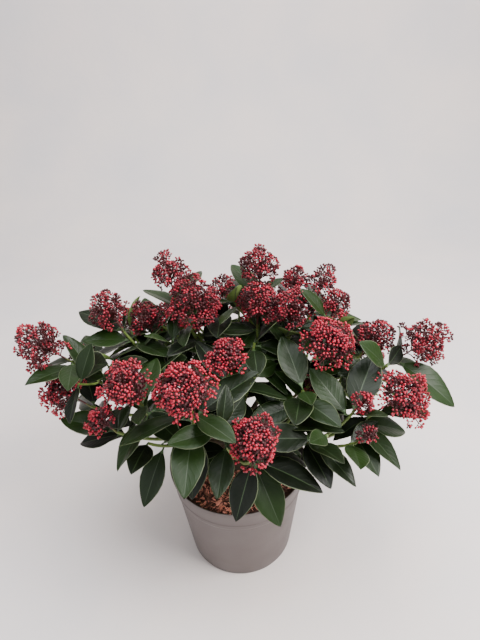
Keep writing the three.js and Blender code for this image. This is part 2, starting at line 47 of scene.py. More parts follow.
import bmesh
import bpy
import numpy as np
from bpy.props import FloatProperty, FloatVectorProperty, PointerProperty
from bpy.types import Operator, Panel, PropertyGroup
from mathutils import Matrix, Vector, noise

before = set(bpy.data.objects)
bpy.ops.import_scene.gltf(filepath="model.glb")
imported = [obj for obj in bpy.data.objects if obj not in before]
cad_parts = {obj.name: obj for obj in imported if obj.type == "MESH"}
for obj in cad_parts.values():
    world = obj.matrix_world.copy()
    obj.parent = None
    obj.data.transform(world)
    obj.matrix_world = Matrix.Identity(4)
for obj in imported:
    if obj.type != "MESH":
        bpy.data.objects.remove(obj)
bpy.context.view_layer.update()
BODY = "root"
MM = 0.001
WHOLE_TURN = 6.28

# Sizes of the frame that the defaults come from, in metres

POT_LOW, POT_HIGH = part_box("pot")
SOIL_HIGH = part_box("soil")[1]

# Pot and soil, in millimetres

LIP_RADIUS = 103.9
LIP_DEPTH = 9
WAIST_RADIUS = 100.6
WAIST_DEPTH = 23
COLLAR_RADIUS = 99.8
COLLAR_DEPTH = 38
COLLAR_SWELL = 0.4
STEP_RADIUS = 98.2
STEP_RISE = 3
BASE_BEVEL = 2.5
FOOT_INSET = 0.9
FOOT_LIFT = 0.5
POT_FLOOR = 2.2
FLOOR_RING = 30
INSIDE_BEVEL = 1.6
INSIDE_RISE = 2
DRAIN_HOLES = 6
DRAIN_RADIUS = 5
DRAIN_CIRCLE = 58
DRAIN_SIDES = 20
ROUND_SIDES = 96
SHARP_ANGLE = 32
GAP = 0.3
SOIL_FALL = 3
SOIL_SLACK = 0.5
SOIL_COLLAR = 25
SOIL_WAIST = 10
SOIL_INSET = 0.3
SOIL_RINGS = 26
SOIL_SHARES = (0.98, 0.04)
MOUND_SCALE = 160
MOUND_HEIGHT = 1.6
MOUND_LIMITS = (-2, 1.2)
MOUND_FALL = 0.6

# Fine points of the pot's profile: shares of the wall, and pairs of a way out or in and a height
WALL_SHARES = (0.25, 0.5, 0.75)
STEP_ROUND = ((0, -0.4), (0.5, 0.2))
GROOVE = ((0.25, 8.6), (-0.15, 8), (-0.15, 7.4), (0.4, 6.8))
RIM_ROUND = ((0, 1), (0.2, 0.3), (0.7, 0))

# Bark chips: lengths and widths of the four shapes, and what varies from one chip to the next
CHIP_LENGTHS = (0.7, 1.0, 1.3, 0.85)
CHIP_WIDTHS = (1.2, 0.8, 0.6, 1.5)
CHIP_STEPS = 4
CHIP_CORNERS = 4
CHIP_TAPER = 1.1
CHIP_TWIST = 0.9
CHIP_GIRTH = (0.7, 0.36)
CHIP_GIRTHS = (0.8, 0.4)
CHIP_BEND = 0.35
CHIP_BEND_FROM = 0.3
CHIP_EDGE = 6
CHIP_DROP = 3
CHIP_TILT = 0.6
CHIP_SIZES = (0.55, 1.25)
CHIP_TINTS = 3.45
CHIP_SEED_STEP = 31
CHIP_SIZE_SEED = 11
CHIP_TINT_SEED = 23

# The growth rule, with the values of the solids

POT_HEIGHT = 173.5
RIM_RADIUS = 105
BASE_RADIUS = 83.5
SOIL_TOP = 160.5
TRUNK_TOP = 252
TRUNK_RADIUS = 11
TRUNK_TIP_RADIUS = 6
FLARE_RADIUS = 6
FLARE_HEIGHT = 14
BOUGH_RADIUS = 4.6
BOUGH_TIP_RADIUS = 2.9
BOUGH_SHARE = 0.58
BOUGH_SAG = 14
BOUGH_BEND = 0.55
BOUGH_RISE = 0.1
BOUGH_DIP = 4
LEAN = 44
LEAN_REACH = 230
LEAN_POWER = 1.7
STUB_LENGTH = 7
KNOT_SHARE = 0.6
TWIG_RADIUS = 2.6
TWIG_TIP_RADIUS = 1.9
TWIG_UPRIGHT = 0.45
TWIG_ONWARD = 0.4
TWIG_STEPS = 3
PEDUNCLE = 13
HEAD_RISE = 0.46
HEAD_UNDERSIDE = 0.34
HEAD_SHARE = 0.53
HEAD_ROOM = 0.07
LEAF_LENGTH = 88
LEAF_WIDTH = 0.46
LEAF_THICKNESS = 0.014
PETIOLE_THICKNESS = 1.6
LEAF_FOLD = 0.2
LEAF_ARCH = 0.13
WIDE_SHARE = 0.42
RIB_SHARE = 0.55
FORE_SHARE = 0.74
LEAF_ROLL = 36
LEAF_DROOP = 0.32
LEAF_LOWEST = -0.26
LEAF_SEAT = 0.57
BLADE_START = 0.22
WHORL_LEAVES = 6
WHORL_BACK = 3
WHORL_STEP = 5
WHORL_SPREAD = 62
WHORL_OPENING = 7
WHORL_SIZE = 0.76
WHORL_GROWTH = 0.04
LOWER_LEAVES = 1
LOWER_BACK = 48
LOWER_STEP = 9
LOWER_SPREAD = 100
GOLDEN_ANGLE = 137.5
SHOOT_TURN = 61
ANGLE_CHANCE = 16
SHOWN_FIRST = 4
LEAF_CLEARANCE = 0.7
SEED = 7
SEED_STEP = 100003
SHOOT_STEP = 101
CHANCES_EACH = 7
SHOWN_FROM = 50
SIDE_FROM = 90

# What varies from leaf to leaf: a least share, and the most that chance adds to it
LEAF_WIDTHS = (0.9, 0.2)
LEAF_LENGTHS = (0.9, 0.2)
LEAF_ARCHES = (0.6, 0.8)
LEAF_DROOPS = (0.4, 0.6)

# Each mass of foliage: the height at which its bough leaves the trunk, and its shoots, as the
# bearing, reach and height of the panicle's middle and its width, which is 0 on a leafy shoot
MASSES = [
    ("left_far", 186, [(177, 255, 386, 64), (182, 232, 324, 64), (168, 223, 343, 36)]),
    ("left_high", 214, [(161, 180, 411, 54), (150, 140, 388, 50)]),
    ("left_front", 200, [(213, 149, 387, 62), (200, 182, 318, 40)]),
    ("front_left", 224, [(243, 117, 394, 70), (216, 138, 292, 0)]),
    ("front", 188, [(281, 124, 329, 64), (262, 85, 285, 0)]),
    ("centre", TRUNK_TOP, [(259, 36, 389, 52), (41, 42, 366, 0), (300, 38, 330, 0)]),
    ("front_right", 206, [(318, 152, 312, 0), (335, 100, 335, 0), (308, 92, 303, 0)]),
    ("right_front", 184, [(348, 225, 323, 70), (335, 178, 340, 30), (330, 190, 305, 26)]),
    ("right_mid", 232, [(358, 129, 382, 70), (352, 112, 324, 30)]),
    ("right_back", 196, [(12, 211, 356, 54), (3, 262, 362, 64)]),
    ("top_right", 220, [(47, 143, 424, 40), (34, 163, 425, 42), (25, 168, 396, 44)]),
    ("top", 237, [(66, 110, 447, 58), (59, 77, 408, 60), (32, 101, 400, 54)]),
    ("top_left", 227, [(135, 120, 451, 52), (132, 75, 415, 74), (97, 100, 417, 38)]),
    ("back_high", 212, [(114, 190, 368, 52), (86, 188, 366, 54), (62, 200, 366, 48)]),
    ("back_left", 184, [(137, 232, 330, 52), (117, 242, 310, 58)]),
    ("back", 192, [(97, 236, 306, 56), (76, 240, 312, 58)]),
    ("back_right", 186, [(51, 244, 308, 56), (27, 246, 290, 50)]),
]

# Leaves that show: the shoot, how far below its tip, bearing and slope in degrees, and length
SHOWN_LEAVES = {
    "left_far": [
        (0, 3, 281, 7, 66), (0, 10, 232, 16, 76), (0, 40, 144, 60, 72), (2, 0, 130, 15, 86),
        (1, 5, 110, 31, 80),
    ],
    "left_high": [(0, 0, 150, 15, 86), (1, 15, 166, -12, 78), (1, 0, 108, 25, 86), (0, 16, 180, 8, 70)],
    "left_front": [(0, 0, 84, 21, 78), (1, 10, 172, -16, 72), (0, 10, 130, 10, 80), (1, 0, 168, 14, 80)],
    "front_left": [
        (0, 10, 28, 23, 100), (0, 0, 198, -3, 92), (0, 25, 252, -30, 72), (0, 40, 268, -37, 82),
        (0, 0, 316, 4, 70), (1, 0, 264, 22, 64), (1, 24, 243, -34, 78),
    ],
    "front": [
        (0, 0, 14, -22, 84), (0, 6, 338, -22, 92), (0, 4, 302, -46, 88), (0, 0, 247, -31, 74),
        (1, 0, 244, -6, 70),
    ],
    "centre": [(0, 10, 126, 28, 80), (1, 4, 32, -20, 76)],
    "front_right": [
        (1, 0, 92, 39, 80), (1, 10, 257, 24, 78), (0, 28, 312, -16, 74), (0, 40, 30, -10, 80),
        (0, 40, 66, 4, 80), (0, 40, 300, 24, 74), (2, 0, 126, 24, 76), (2, 0, 60, 20, 84),
        (2, 4, 20, 5, 82), (0, 46, 292, -6, 70),
    ],
    "right_front": [
        (1, 0, 40, 36, 90), (1, 8, 128, 18, 80), (1, 4, 160, 2, 60), (0, 0, 8, 12, 84),
        (0, 28, 304, -8, 80), (0, 40, 288, -8, 76), (0, 8, 200, -16, 60),
    ],
    "right_mid": [(0, 0, 48, 26, 80)],
    "right_back": [(0, 0, 48, 36, 84), (1, 0, 334, -9, 104)],
    "top": [(0, 35, 156, 37, 82), (0, 8, 120, 32, 76)],
    "top_left": [(1, 30, 48, 37, 78), (0, 0, 47, 11, 76), (0, 16, 144, 16, 70)],
}

# Finer growth that only the scene has: leaves as how far below the tip, spread and size, the
# side twigs as how far below the tip, bearing and length, and the leaves of a side twig
FINER_LEAVES = [(1, 44, 0.55), (20, 90, 0.85), (36, 97, 0.9), (57, 100, 0.9)]
SIDE_TWIGS = [(50, 0, 52), (80, 150, 56)]
SIDE_LEAVES = [(0, 44, 0.56), (2, 62, 0.62), (4, 76, 0.68), (8, 88, 0.7)]
SIDE_ID = 1000
SIDE_TWIG_SPREAD = 58
SIDE_TWIG_RADIUS = 1.7
SIDE_TWIG_TIP = 1.3
SIDE_TURN = 60
SIDE_TILT = 14
SIDE_NUDGE = 2
SIDE_LOWEST = 0.05
SIDE_LENGTHS = (0.85, 0.3)
SIDE_BEND = 0.55
SIDE_ONWARD = 0.75
SIDE_UPRIGHT = 0.5
SIDE_END = 0.5
SIDE_STEPS = (0.12, 0.5, 1)
SIDE_CLEARANCE = 0.5

# The low front of the crown is open and shows the soil. No leaf of a spiral ends in front of a
# depth and below a height, and finer growth keeps further back and up. The low left is open too.
SPIRAL_OPEN = (-85, 300)
FINER_OPEN = (40, 335)
LEFT_OPEN = (-125, -40, 300)

# Finer leaves also keep off the face of a panicle, at these shares of their length
FACE_WAY = np.array((0, -0.8, 0.6))
FACE_SHARE = 0.55
COVER_SHARES = (0.5, 0.75, 1)

# Which masses share a piece of the scene
REGIONS = {
    "left": ["left_far", "left_high", "left_front"],
    "front": ["front_left", "front", "centre", "front_right"],
    "right": ["right_front", "right_mid", "right_back", "top_right"],
    "top": ["top", "top_left", "back_high"],
    "back": ["back_left", "back", "back_right"],
}

# The camera, fitted to the photograph, in millimetres and degrees
CAMERA_PLACE = (12.8, -527.7, 739.5)
CAMERA_PITCH = 31.12
CAMERA_ROLL = -2.48
CAMERA_LENS = 27
CAMERA_SENSOR = 36
CAMERA_CLIP = 0.05


# Directions and curves


def vector(x, y, z):
    return np.array((x, y, z), float)


def unit(way):
    return way / math.sqrt(way @ way)


def polar(bearing, reach, height):
    angle = math.radians(bearing)
    return vector(math.cos(angle) * reach, math.sin(angle) * reach, height)


def between(one, other, share):
    return one + (other - one) * share


def distance(one, other):
    way = other - one
    return math.sqrt(way @ way)


def across_of(along):
    """A direction square to another one, lying level where that can be."""
    side = vector(0, 0, 1) if abs(along[2]) < 0.9 else vector(1, 0, 0)
    return unit(np.cross(side, along))


def on_curve(curve, share):
    """The place on a quadratic curve of three points."""
    first, bend, last = curve
    rest = 1 - share
    return first * rest * rest + bend * 2 * rest * share + last * share * share


def clamp(value, least=0, most=1):
    return min(most, max(least, value))


def varied(limits, chance):
    """A number from its least value and the most that chance adds to it."""
    least, more = limits
    return least + more * chance


def seeded(seed):
    """Numbers between 0 and 1, the same ones as the solids draw for the same seed."""
    word = 0xFFFFFFFF
    state = seed & word

    def draw():
        nonlocal state
        state = (state + 0x6D2B79F5) & word
        mixed = ((state ^ (state >> 15)) * (state | 1)) & word
        mixed ^= (mixed + (mixed ^ (mixed >> 7)) * (mixed | 61)) & word
        return ((mixed ^ (mixed >> 14)) & word) / 4294967296

    return draw


def chances(shoot_id, order):
    draw = seeded(SEED * SEED_STEP + shoot_id * SHOOT_STEP + order)
    return [draw() for _ in range(CHANCES_EACH)]

# Closed shapes that growth keeps clear of


def edges_of(faces):
    edges = {}
    for a, b, c in faces:
        for start, end in ((a, b), (b, c), (c, a)):
            edges[min(start, end) * 1000 + max(start, end)] = (start, end)
    return np.array(list(edges.values()))


LEAF_FACES = np.array([
    (0, 8, 2), (8, 4, 2), (8, 6, 4), (8, 5, 6), (8, 3, 5), (8, 0, 3),
    (1, 2, 7), (7, 2, 4), (7, 4, 6), (7, 6, 5), (7, 5, 3), (7, 3, 1), (0, 2, 1), (0, 1, 3),
])
LEAF_EDGES = edges_of(LEAF_FACES)
BAR_FACES = np.array([
    (0, 2, 1), (0, 3, 2), (4, 5, 6), (4, 6, 7), (0, 1, 5), (0, 5, 4),
    (1, 2, 6), (1, 6, 5), (2, 3, 7), (2, 7, 6), (3, 0, 4), (3, 4, 7),
])
BAR_EDGES = edges_of(BAR_FACES)
GOLDEN = (1 + math.sqrt(5)) / 2
HEAD_CORNERS = np.array([
    (-1, GOLDEN, 0), (1, GOLDEN, 0), (-1, -GOLDEN, 0), (1, -GOLDEN, 0),
    (0, -1, GOLDEN), (0, 1, GOLDEN), (0, -1, -GOLDEN), (0, 1, -GOLDEN),
    (GOLDEN, 0, -1), (GOLDEN, 0, 1), (-GOLDEN, 0, -1), (-GOLDEN, 0, 1),
]) / math.sqrt(1 + GOLDEN * GOLDEN)
HEAD_FACES = np.array([
    (0, 11, 5), (0, 5, 1), (0, 1, 7), (0, 7, 10), (0, 10, 11),
    (1, 5, 9), (5, 11, 4), (11, 10, 2), (10, 7, 6), (7, 1, 8),
    (3, 9, 4), (3, 4, 2), (3, 2, 6), (3, 6, 8), (3, 8, 9),
    (4, 9, 5), (2, 4, 11), (6, 2, 10), (8, 6, 7), (9, 8, 1),
])
HEAD_EDGES = edges_of(HEAD_FACES)


def make_shape(points, faces, edges, mass=None, twig_of=None, blade=None):
    """A closed shape with the edges and faces that the tests of a crossing need."""
    points = np.asarray(points, float)
    start = points[edges[:, 0]]
    corner = points[faces[:, 0]]
    return SimpleNamespace(
        low=points.min(0),
        high=points.max(0),
        start=start,
        way=points[edges[:, 1]] - start,
        corner=corner,
        ab=points[faces[:, 1]] - corner,
        ac=points[faces[:, 2]] - corner,
        mass=mass,
        twig_of=twig_of,
        blade=blade,
    )


def bar_shape(start, end, radius, mass=None, twig_of=None):
    """A square bar round a stretch of limb."""
    along = unit(end - start)
    across = across_of(along)
    over = np.cross(along, across)
    points = [
        place + across * a * radius + over * b * radius
        for place in (start, end)
        for a, b in ((1, 1), (-1, 1), (-1, -1), (1, -1))
    ]
    return make_shape(points, BAR_FACES, BAR_EDGES, mass, twig_of)


def cross(one, other):
    x = one[..., 1] * other[..., 2] - one[..., 2] * other[..., 1]
    y = one[..., 2] * other[..., 0] - one[..., 0] * other[..., 2]
    z = one[..., 0] * other[..., 1] - one[..., 1] * other[..., 0]
    return np.stack((x, y, z), -1)


def dot(one, other):
    return (one * other).sum(-1)


def edges_cross_faces(start, way, corner, ab, ac):
    way = way[:, None]
    ab = ab[None]
    ac = ac[None]
    tilt = cross(way, ac)
    scale = dot(ab, tilt)
    scale = np.where(np.abs(scale) < 1e-12, np.inf, scale)
    offset = start[:, None] - corner[None]
    u = dot(offset, tilt) / scale
    turn = cross(offset, np.broadcast_to(ab, offset.shape))
    v = dot(way, turn) / scale
    share = dot(ac, turn) / scale
    inside = (u >= 0) & (u <= 1) & (v >= 0) & (u + v <= 1) & (share >= 0) & (share <= 1)
    return bool((inside & np.isfinite(scale)).any())


def touches_any(one, others):
    if not others:
        return False
    corner, ab, ac = (
        np.concatenate([getattr(other, part) for other in others]) for part in ("corner", "ab", "ac")
    )
    if edges_cross_faces(one.start, one.way, corner, ab, ac):
        return True
    start, way = (np.concatenate([getattr(other, part) for other in others]) for part in ("start", "way"))
    return edges_cross_faces(start, way, one.corner, one.ab, one.ac)


THICKET_ROOM = 6000


class Thicket:
    """Everything that a new leaf or twig keeps clear of."""

    def __init__(self):
        self.shapes = []
        self.lows = np.zeros((THICKET_ROOM, 3))
        self.highs = np.zeros((THICKET_ROOM, 3))

    def add(self, *shapes):
        for shape in shapes:
            index = len(self.shapes)
            self.lows[index] = shape.low
            self.highs[index] = shape.high
            self.shapes.append(shape)

    def is_clear(self, whole, blade, mass, owner):
        """Leaves of one mass may meet where they leave the twig, and are clear further out."""
        count = len(self.shapes)
        near = (self.lows[:count] <= whole.high) & (self.highs[:count] >= whole.low)
        own = []
        others = []
        for index in np.flatnonzero(near.all(1)):
            shape = self.shapes[index]
            if shape.twig_of == owner:
                continue
            if shape.mass == mass:
                own.append(shape.blade or shape)
            else:
                others.append(shape)
        return not touches_any(blade, own) and not touches_any(whole, others)


# Trunk, boughs and shoots

TRUNK_CURVE = (
    vector(0, 0, SOIL_TOP + GAP),
    vector(0, 0, (SOIL_TOP + TRUNK_TOP) / 2),
    vector(-1, 1, TRUNK_TOP),
)


def head_axis(bearing, reach):
    """Shoots stand upright in the middle and lean out more and more towards the edge."""
    lean = math.radians(LEAN * (reach / LEAN_REACH) ** LEAN_POWER)
    return polar(bearing, math.sin(lean), math.cos(lean))


def plot_shoot(row, mass, index):
    bearing, reach, height, width = row
    middle = polar(bearing, reach, height)
    axis = head_axis(bearing, reach)
    tip = middle - axis * (width * HEAD_RISE + (PEDUNCLE if width > 0 else 0))
    return SimpleNamespace(
        middle=middle, axis=axis, tip=tip, width=width, mass=mass, id=mass * 10 + index,
    )


def plot_mass(mass):
    name, height, rows = MASSES[mass]
    shoots = [plot_shoot(row, mass, index) for index, row in enumerate(rows)]
    target = sum(shoot.tip for shoot in shoots) / len(shoots)
    start = on_curve(TRUNK_CURVE, min(1, (height - SOIL_TOP) / (TRUNK_TOP - SOIL_TOP)))
    on_top = height >= TRUNK_TOP
    fork = start.copy() if on_top else between(start, target, BOUGH_SHARE)
    if not on_top:
        fork[2] -= BOUGH_SAG
    rise = between(start, fork, BOUGH_BEND)
    rise[2] += (fork[2] - start[2]) * BOUGH_RISE - BOUGH_DIP
    along = vector(0, 0, 1) if on_top else unit(fork - rise)
    root = fork + along * GAP
    knot = root + along * STUB_LENGTH * KNOT_SHARE
    for shoot in shoots:
        span = distance(shoot.tip, knot)
        bend = shoot.tip - shoot.axis * span * TWIG_UPRIGHT
        bend = between(bend, knot + along * span * TWIG_ONWARD, TWIG_ONWARD)
        shoot.twig = (knot, bend, shoot.tip)
    return SimpleNamespace(
        name=name, mass=mass, shoots=shoots, on_top=on_top, bough=(start, rise, fork),
        along=along, root=root, knot=knot,
    )


# Leaves


def leaf_points(leaf, extra, root_share):
    """The nine points of a leaf's plain solid."""
    across = np.cross(leaf.over, leaf.along)
    half = leaf.width / 2 + extra
    petiole = PETIOLE_THICKNESS / 2 + extra
    fold = LEAF_FOLD * half
    rib = LEAF_THICKNESS * leaf.length / 2 + extra
    rows = (
        (root_share, 0, petiole), (root_share, 0, -petiole),
        (WIDE_SHARE, half, fold), (WIDE_SHARE, -half, fold),
        (FORE_SHARE, half * FORE_SHARE, fold), (FORE_SHARE, -half * FORE_SHARE, fold),
        (1 + extra / leaf.length, 0, 0), (RIB_SHARE, 0, -rib), (RIB_SHARE, 0, rib),
    )
    return [
        leaf.root + leaf.along * leaf.length * share + across * side
        + leaf.over * (lift - leaf.arch * leaf.length * share * share)
        for share, side, lift in rows
    ]


def leaf_shape(leaf, extra, root_share, blade=None):
    points = leaf_points(leaf, extra, root_share)
    return make_shape(points, LEAF_FACES, LEAF_EDGES, leaf.mass, None, blade)


def back_from_tip(twig, way):
    """The place on a twig that lies a given way back from its tip."""
    place = on_curve(twig, 1)
    walked = 0
    for step in range(TWIG_STEPS - 1, -1, -1):
        after = on_curve(twig, step / TWIG_STEPS)
        length = distance(after, place)
        if walked + length >= way:
            return between(place, after, (way - walked) / length)
        walked += length
        place = after
    return place


def make_leaf(shoot, back, along, over, length, chance):
    face = unit(over - along * (over @ along))
    roll = math.radians((chance[3] - 0.5) * LEAF_ROLL)
    face = face * math.cos(roll) + np.cross(along, face) * math.sin(roll)
    return SimpleNamespace(
        root=back_from_tip(shoot.twig, back) + along * LEAF_SEAT,
        along=along,
        over=face,
        length=length,
        width=length * LEAF_WIDTH * varied(LEAF_WIDTHS, chance[5]),
        arch=LEAF_ARCH * varied(LEAF_ARCHES, chance[6]),
        mass=shoot.mass,
        shoot=shoot.id,
    )


def plot_shown_leaf(shoot, row, chance, nudge):
    _, back, bearing, slope, length = row
    turn, tilt, size = nudge
    rise = math.radians(slope + tilt)
    along = polar(bearing + turn, math.cos(rise), math.sin(rise))
    return make_leaf(shoot, back, along, vector(0, 0, 1), length * size, chance)


def leaning(axis, azimuth, tilt):
    """A direction that tilts away from an axis, towards an azimuth round it."""
    across = across_of(axis)
    out = across * math.cos(azimuth) + np.cross(axis, across) * math.sin(azimuth)
    return axis * math.cos(tilt) + out * math.sin(tilt)


def plot_ranked_leaf(shoot, order, rank, chance, nudge):
    """The leaf at a place of a shoot's spiral, with its rank: way back, spread and size."""
    back, spread, size = rank
    nudge_turn, nudge_tilt, nudge_size = nudge
    turn = GOLDEN_ANGLE * order + shoot.id * SHOOT_TURN + (chance[0] - 0.5) * ANGLE_CHANCE
    tilt = math.radians(spread + (chance[1] - 0.5) * ANGLE_CHANCE + nudge_tilt)
    along = leaning(shoot.axis, math.radians(turn + nudge_turn), tilt)
    along[2] = max(along[2] - LEAF_DROOP * varied(LEAF_DROOPS, chance[2]), LEAF_LOWEST)
    length = LEAF_LENGTH * size * varied(LEAF_LENGTHS, chance[4]) * nudge_size
    return make_leaf(shoot, back, unit(along), shoot.axis, length, chance)


def spiral_rank(order):
    if order >= WHORL_LEAVES:
        return LOWER_BACK + (order - WHORL_LEAVES) * LOWER_STEP, LOWER_SPREAD, 1
    back = WHORL_BACK + order * WHORL_STEP
    spread = WHORL_SPREAD + order * WHORL_OPENING
    return back, spread, WHORL_SIZE + order * WHORL_GROWTH


# Turns and tilts in the order in which a leaf tries them, at one size after the other
NUDGE_TURNS = (
    (0, 0), (16, 0), (-16, 0), (0, 16), (0, -16), (30, 8), (-30, 8), (24, -14), (-24, -14),
)
NUDGE_SIZES = (1, 0.82)
FINER_SIZES = (*NUDGE_SIZES, 0.68)
NUDGES = [(turn, tilt, size) for size in NUDGE_SIZES for turn, tilt in NUDGE_TURNS]
FINER_NUDGES = [(turn, tilt, size) for size in FINER_SIZES for turn, tilt in NUDGE_TURNS]


def is_in_front(place, opening):
    depth, height = opening
    at_left = all(value < limit for value, limit in zip(place, LEFT_OPEN))
    return at_left or (place[1] < depth and place[2] < height)


def covers_panicle(leaf, panicles):
    """Whether a leaf lies over the face that a panicle turns outwards."""
    places = leaf.root + leaf.along * (leaf.length * np.array(COVER_SHARES))[:, None]
    for panicle in panicles:
        ways = places - panicle.middle - FACE_WAY * panicle.width * FACE_SHARE
        if (np.linalg.norm(ways, axis=1) < panicle.width * FACE_SHARE).any():
            return True
    return False


def grow_leaf(plot, nudges, thicket, leaves, opening=None, panicles=()):
    """Adds the first nudged form of a leaf that is clear of everything, or none."""
    for nudge in nudges:
        leaf = plot(nudge)
        if opening and is_in_front(leaf.root + leaf.along * leaf.length, opening):
            continue
        if covers_panicle(leaf, panicles):
            continue
        whole = leaf_shape(leaf, LEAF_CLEARANCE, 0)
        blade = leaf_shape(leaf, LEAF_CLEARANCE, BLADE_START)
        if thicket.is_clear(whole, blade, leaf.mass, leaf.shoot):
            leaves.append(leaf)
            thicket.add(leaf_shape(leaf, 0, 0, leaf_shape(leaf, 0, BLADE_START)))
            return


def grow_rank(shoots, order, rank, nudges, thicket, leaves, opening, panicles=()):
    """Adds the leaf at one place of the spiral of each shoot."""
    for shoot in shoots:
        plot = functools.partial(plot_ranked_leaf, shoot, order, rank, chances(shoot.id, order))
        grow_leaf(plot, nudges, thicket, leaves, opening, panicles)


def shoots_of(masses):
    return [shoot for mass in masses for shoot in mass.shoots]


def panicles_of(masses):
    return [shoot for shoot in shoots_of(masses) if shoot.width > 0]


def grow_solid_leaves(masses, thicket):
    """The leaves that the solids have too, in the same order and with the same numbers."""
    leaves = []
    for mass in masses:
        for index, row in enumerate(SHOWN_LEAVES.get(mass.name, ())):
            shoot = mass.shoots[row[0]]
            chance = chances(shoot.id, SHOWN_FROM + index)
            plot = functools.partial(plot_shown_leaf, shoot, row, chance)
            grow_leaf(plot, NUDGES, thicket, leaves)
    shoots = shoots_of(masses)
    first = {
        shoot.id: min(sum(leaf.shoot == shoot.id for leaf in leaves), SHOWN_FIRST) for shoot in shoots
    }
    for order in range(WHORL_LEAVES + LOWER_LEAVES):
        due = [shoot for shoot in shoots if order >= first[shoot.id]]
        grow_rank(due, order, spiral_rank(order), NUDGES, thicket, leaves, SPIRAL_OPEN)
    return leaves


def grow_finer_leaves(masses, thicket):
    """Leaves between those of the solids."""
    leaves = []
    shoots = shoots_of(masses)
    panicles = panicles_of(masses)
    for order, rank in enumerate(FINER_LEAVES, WHORL_LEAVES + LOWER_LEAVES):
        grow_rank(shoots, order, rank, FINER_NUDGES, thicket, leaves, FINER_OPEN, panicles)
    return leaves


def plot_side_twig(parent, index, nudge):
    """A side twig that leaves its parent lower down and turns upwards."""
    back, bearing, length = SIDE_TWIGS[index]
    chance = chances(parent.id, SIDE_FROM + index)
    start = back_from_tip(parent.twig, back)
    turn, tilt, size = nudge
    bearing = bearing + parent.id * SHOOT_TURN + SIDE_TURN * (chance[0] - 0.5) + turn * SIDE_NUDGE
    spread = SIDE_TWIG_SPREAD + SIDE_TILT * (chance[1] - 0.5) + tilt
    along = unit(leaning(parent.axis, math.radians(bearing), math.radians(spread)))
    along[2] = max(along[2], SIDE_LOWEST)
    length *= varied(SIDE_LENGTHS, chance[2]) * size
    bend = start + along * length * SIDE_BEND
    tip = bend + unit(along * SIDE_ONWARD + parent.axis * SIDE_UPRIGHT) * length * SIDE_END
    return SimpleNamespace(
        twig=(start, bend, tip), tip=tip, axis=unit(tip - bend), mass=parent.mass, width=0,
        id=SIDE_ID + parent.id * 10 + index,
    )


def grow_side_twig(parent, index, thicket):
    """The first nudged form of a side twig that is clear of everything, or none."""
    for nudge in NUDGES:
        twig = plot_side_twig(parent, index, nudge)
        if is_in_front(twig.tip, FINER_OPEN):
            continue
        places = [on_curve(twig.twig, share) for share in SIDE_STEPS]
        bars = [
            bar_shape(start, end, SIDE_TWIG_RADIUS + SIDE_CLEARANCE, twig.mass, twig.id)
            for start, end in zip(places, places[1:])
        ]
        if all(thicket.is_clear(bar, bar, twig.mass, parent.id) for bar in bars):
            thicket.add(*bars)
            return twig
    return None


def grow_side_twigs(masses, thicket):
    """Side twigs where there is room, each with a whorl of small leaves."""
    twigs = [
        grow_side_twig(parent, index, thicket)
        for parent in shoots_of(masses)
        for index in range(len(SIDE_TWIGS))
    ]
    twigs = [twig for twig in twigs if twig is not None]
    leaves = []
    panicles = panicles_of(masses)
    for order, rank in enumerate(SIDE_LEAVES):
        grow_rank(twigs, order, rank, FINER_NUDGES, thicket, leaves, FINER_OPEN, panicles)
    bearing = {leaf.shoot for leaf in leaves}
    return [twig for twig in twigs if twig.id in bearing], leaves


# What leaves keep clear of: pot, trunk, boughs, twigs and panicles

BAR_STEPS = 3
DRUM_SIDES = 24
DRUM_EXTRA = 1.5
DRUM_RISE = 0.5


def limb_shapes(curve, radius, mass=None, twig_of=None):
    places = [on_curve(curve, step / BAR_STEPS) for step in range(BAR_STEPS + 1)]
    return [bar_shape(start, end, radius, mass, twig_of) for start, end in zip(places, places[1:])]


def pot_shape():
    top = POT_HEIGHT + DRUM_RISE
    points = [
        polar(360 / DRUM_SIDES * side, radius, height)
        for radius, height in ((BASE_RADIUS, 0), (RIM_RADIUS + DRUM_EXTRA, top))
        for side in range(DRUM_SIDES)
    ]
    points += [vector(0, 0, 0), vector(0, 0, top)]
    faces = []
    for side in range(DRUM_SIDES):
        after = (side + 1) % DRUM_SIDES
        faces += [(side, after, DRUM_SIDES + after), (side, DRUM_SIDES + after, DRUM_SIDES + side)]
        faces += [(2 * DRUM_SIDES, after, side)]
        faces += [(2 * DRUM_SIDES + 1, DRUM_SIDES + side, DRUM_SIDES + after)]
    faces = np.array(faces)
    return make_shape(points, faces, edges_of(faces))


def head_shape(shoot):
    across = across_of(shoot.axis)
    over = np.cross(shoot.axis, across)
    share = shoot.width * (HEAD_SHARE + HEAD_ROOM)
    points = [
        shoot.middle + across * x * share + over * y * share
        + shoot.axis * z * share * 2 * (HEAD_UNDERSIDE if z < 0 else HEAD_RISE)
        for x, y, z in HEAD_CORNERS
    ]
    return make_shape(points, HEAD_FACES, HEAD_EDGES, shoot.mass)


def plot_thicket(masses):
    thicket = Thicket()
    thicket.add(pot_shape(), *limb_shapes(TRUNK_CURVE, TRUNK_RADIUS))
    for mass in masses:
        if not mass.on_top:
            thicket.add(*limb_shapes(mass.bough, BOUGH_RADIUS))
        for shoot in mass.shoots:
            thicket.add(*limb_shapes(shoot.twig, TWIG_RADIUS, mass.mass, shoot.id))
            if shoot.width > 0:
                bar = bar_shape(shoot.tip, shoot.middle, TWIG_TIP_RADIUS, mass.mass, shoot.id)
                thicket.add(bar, head_shape(shoot))
    return thicket


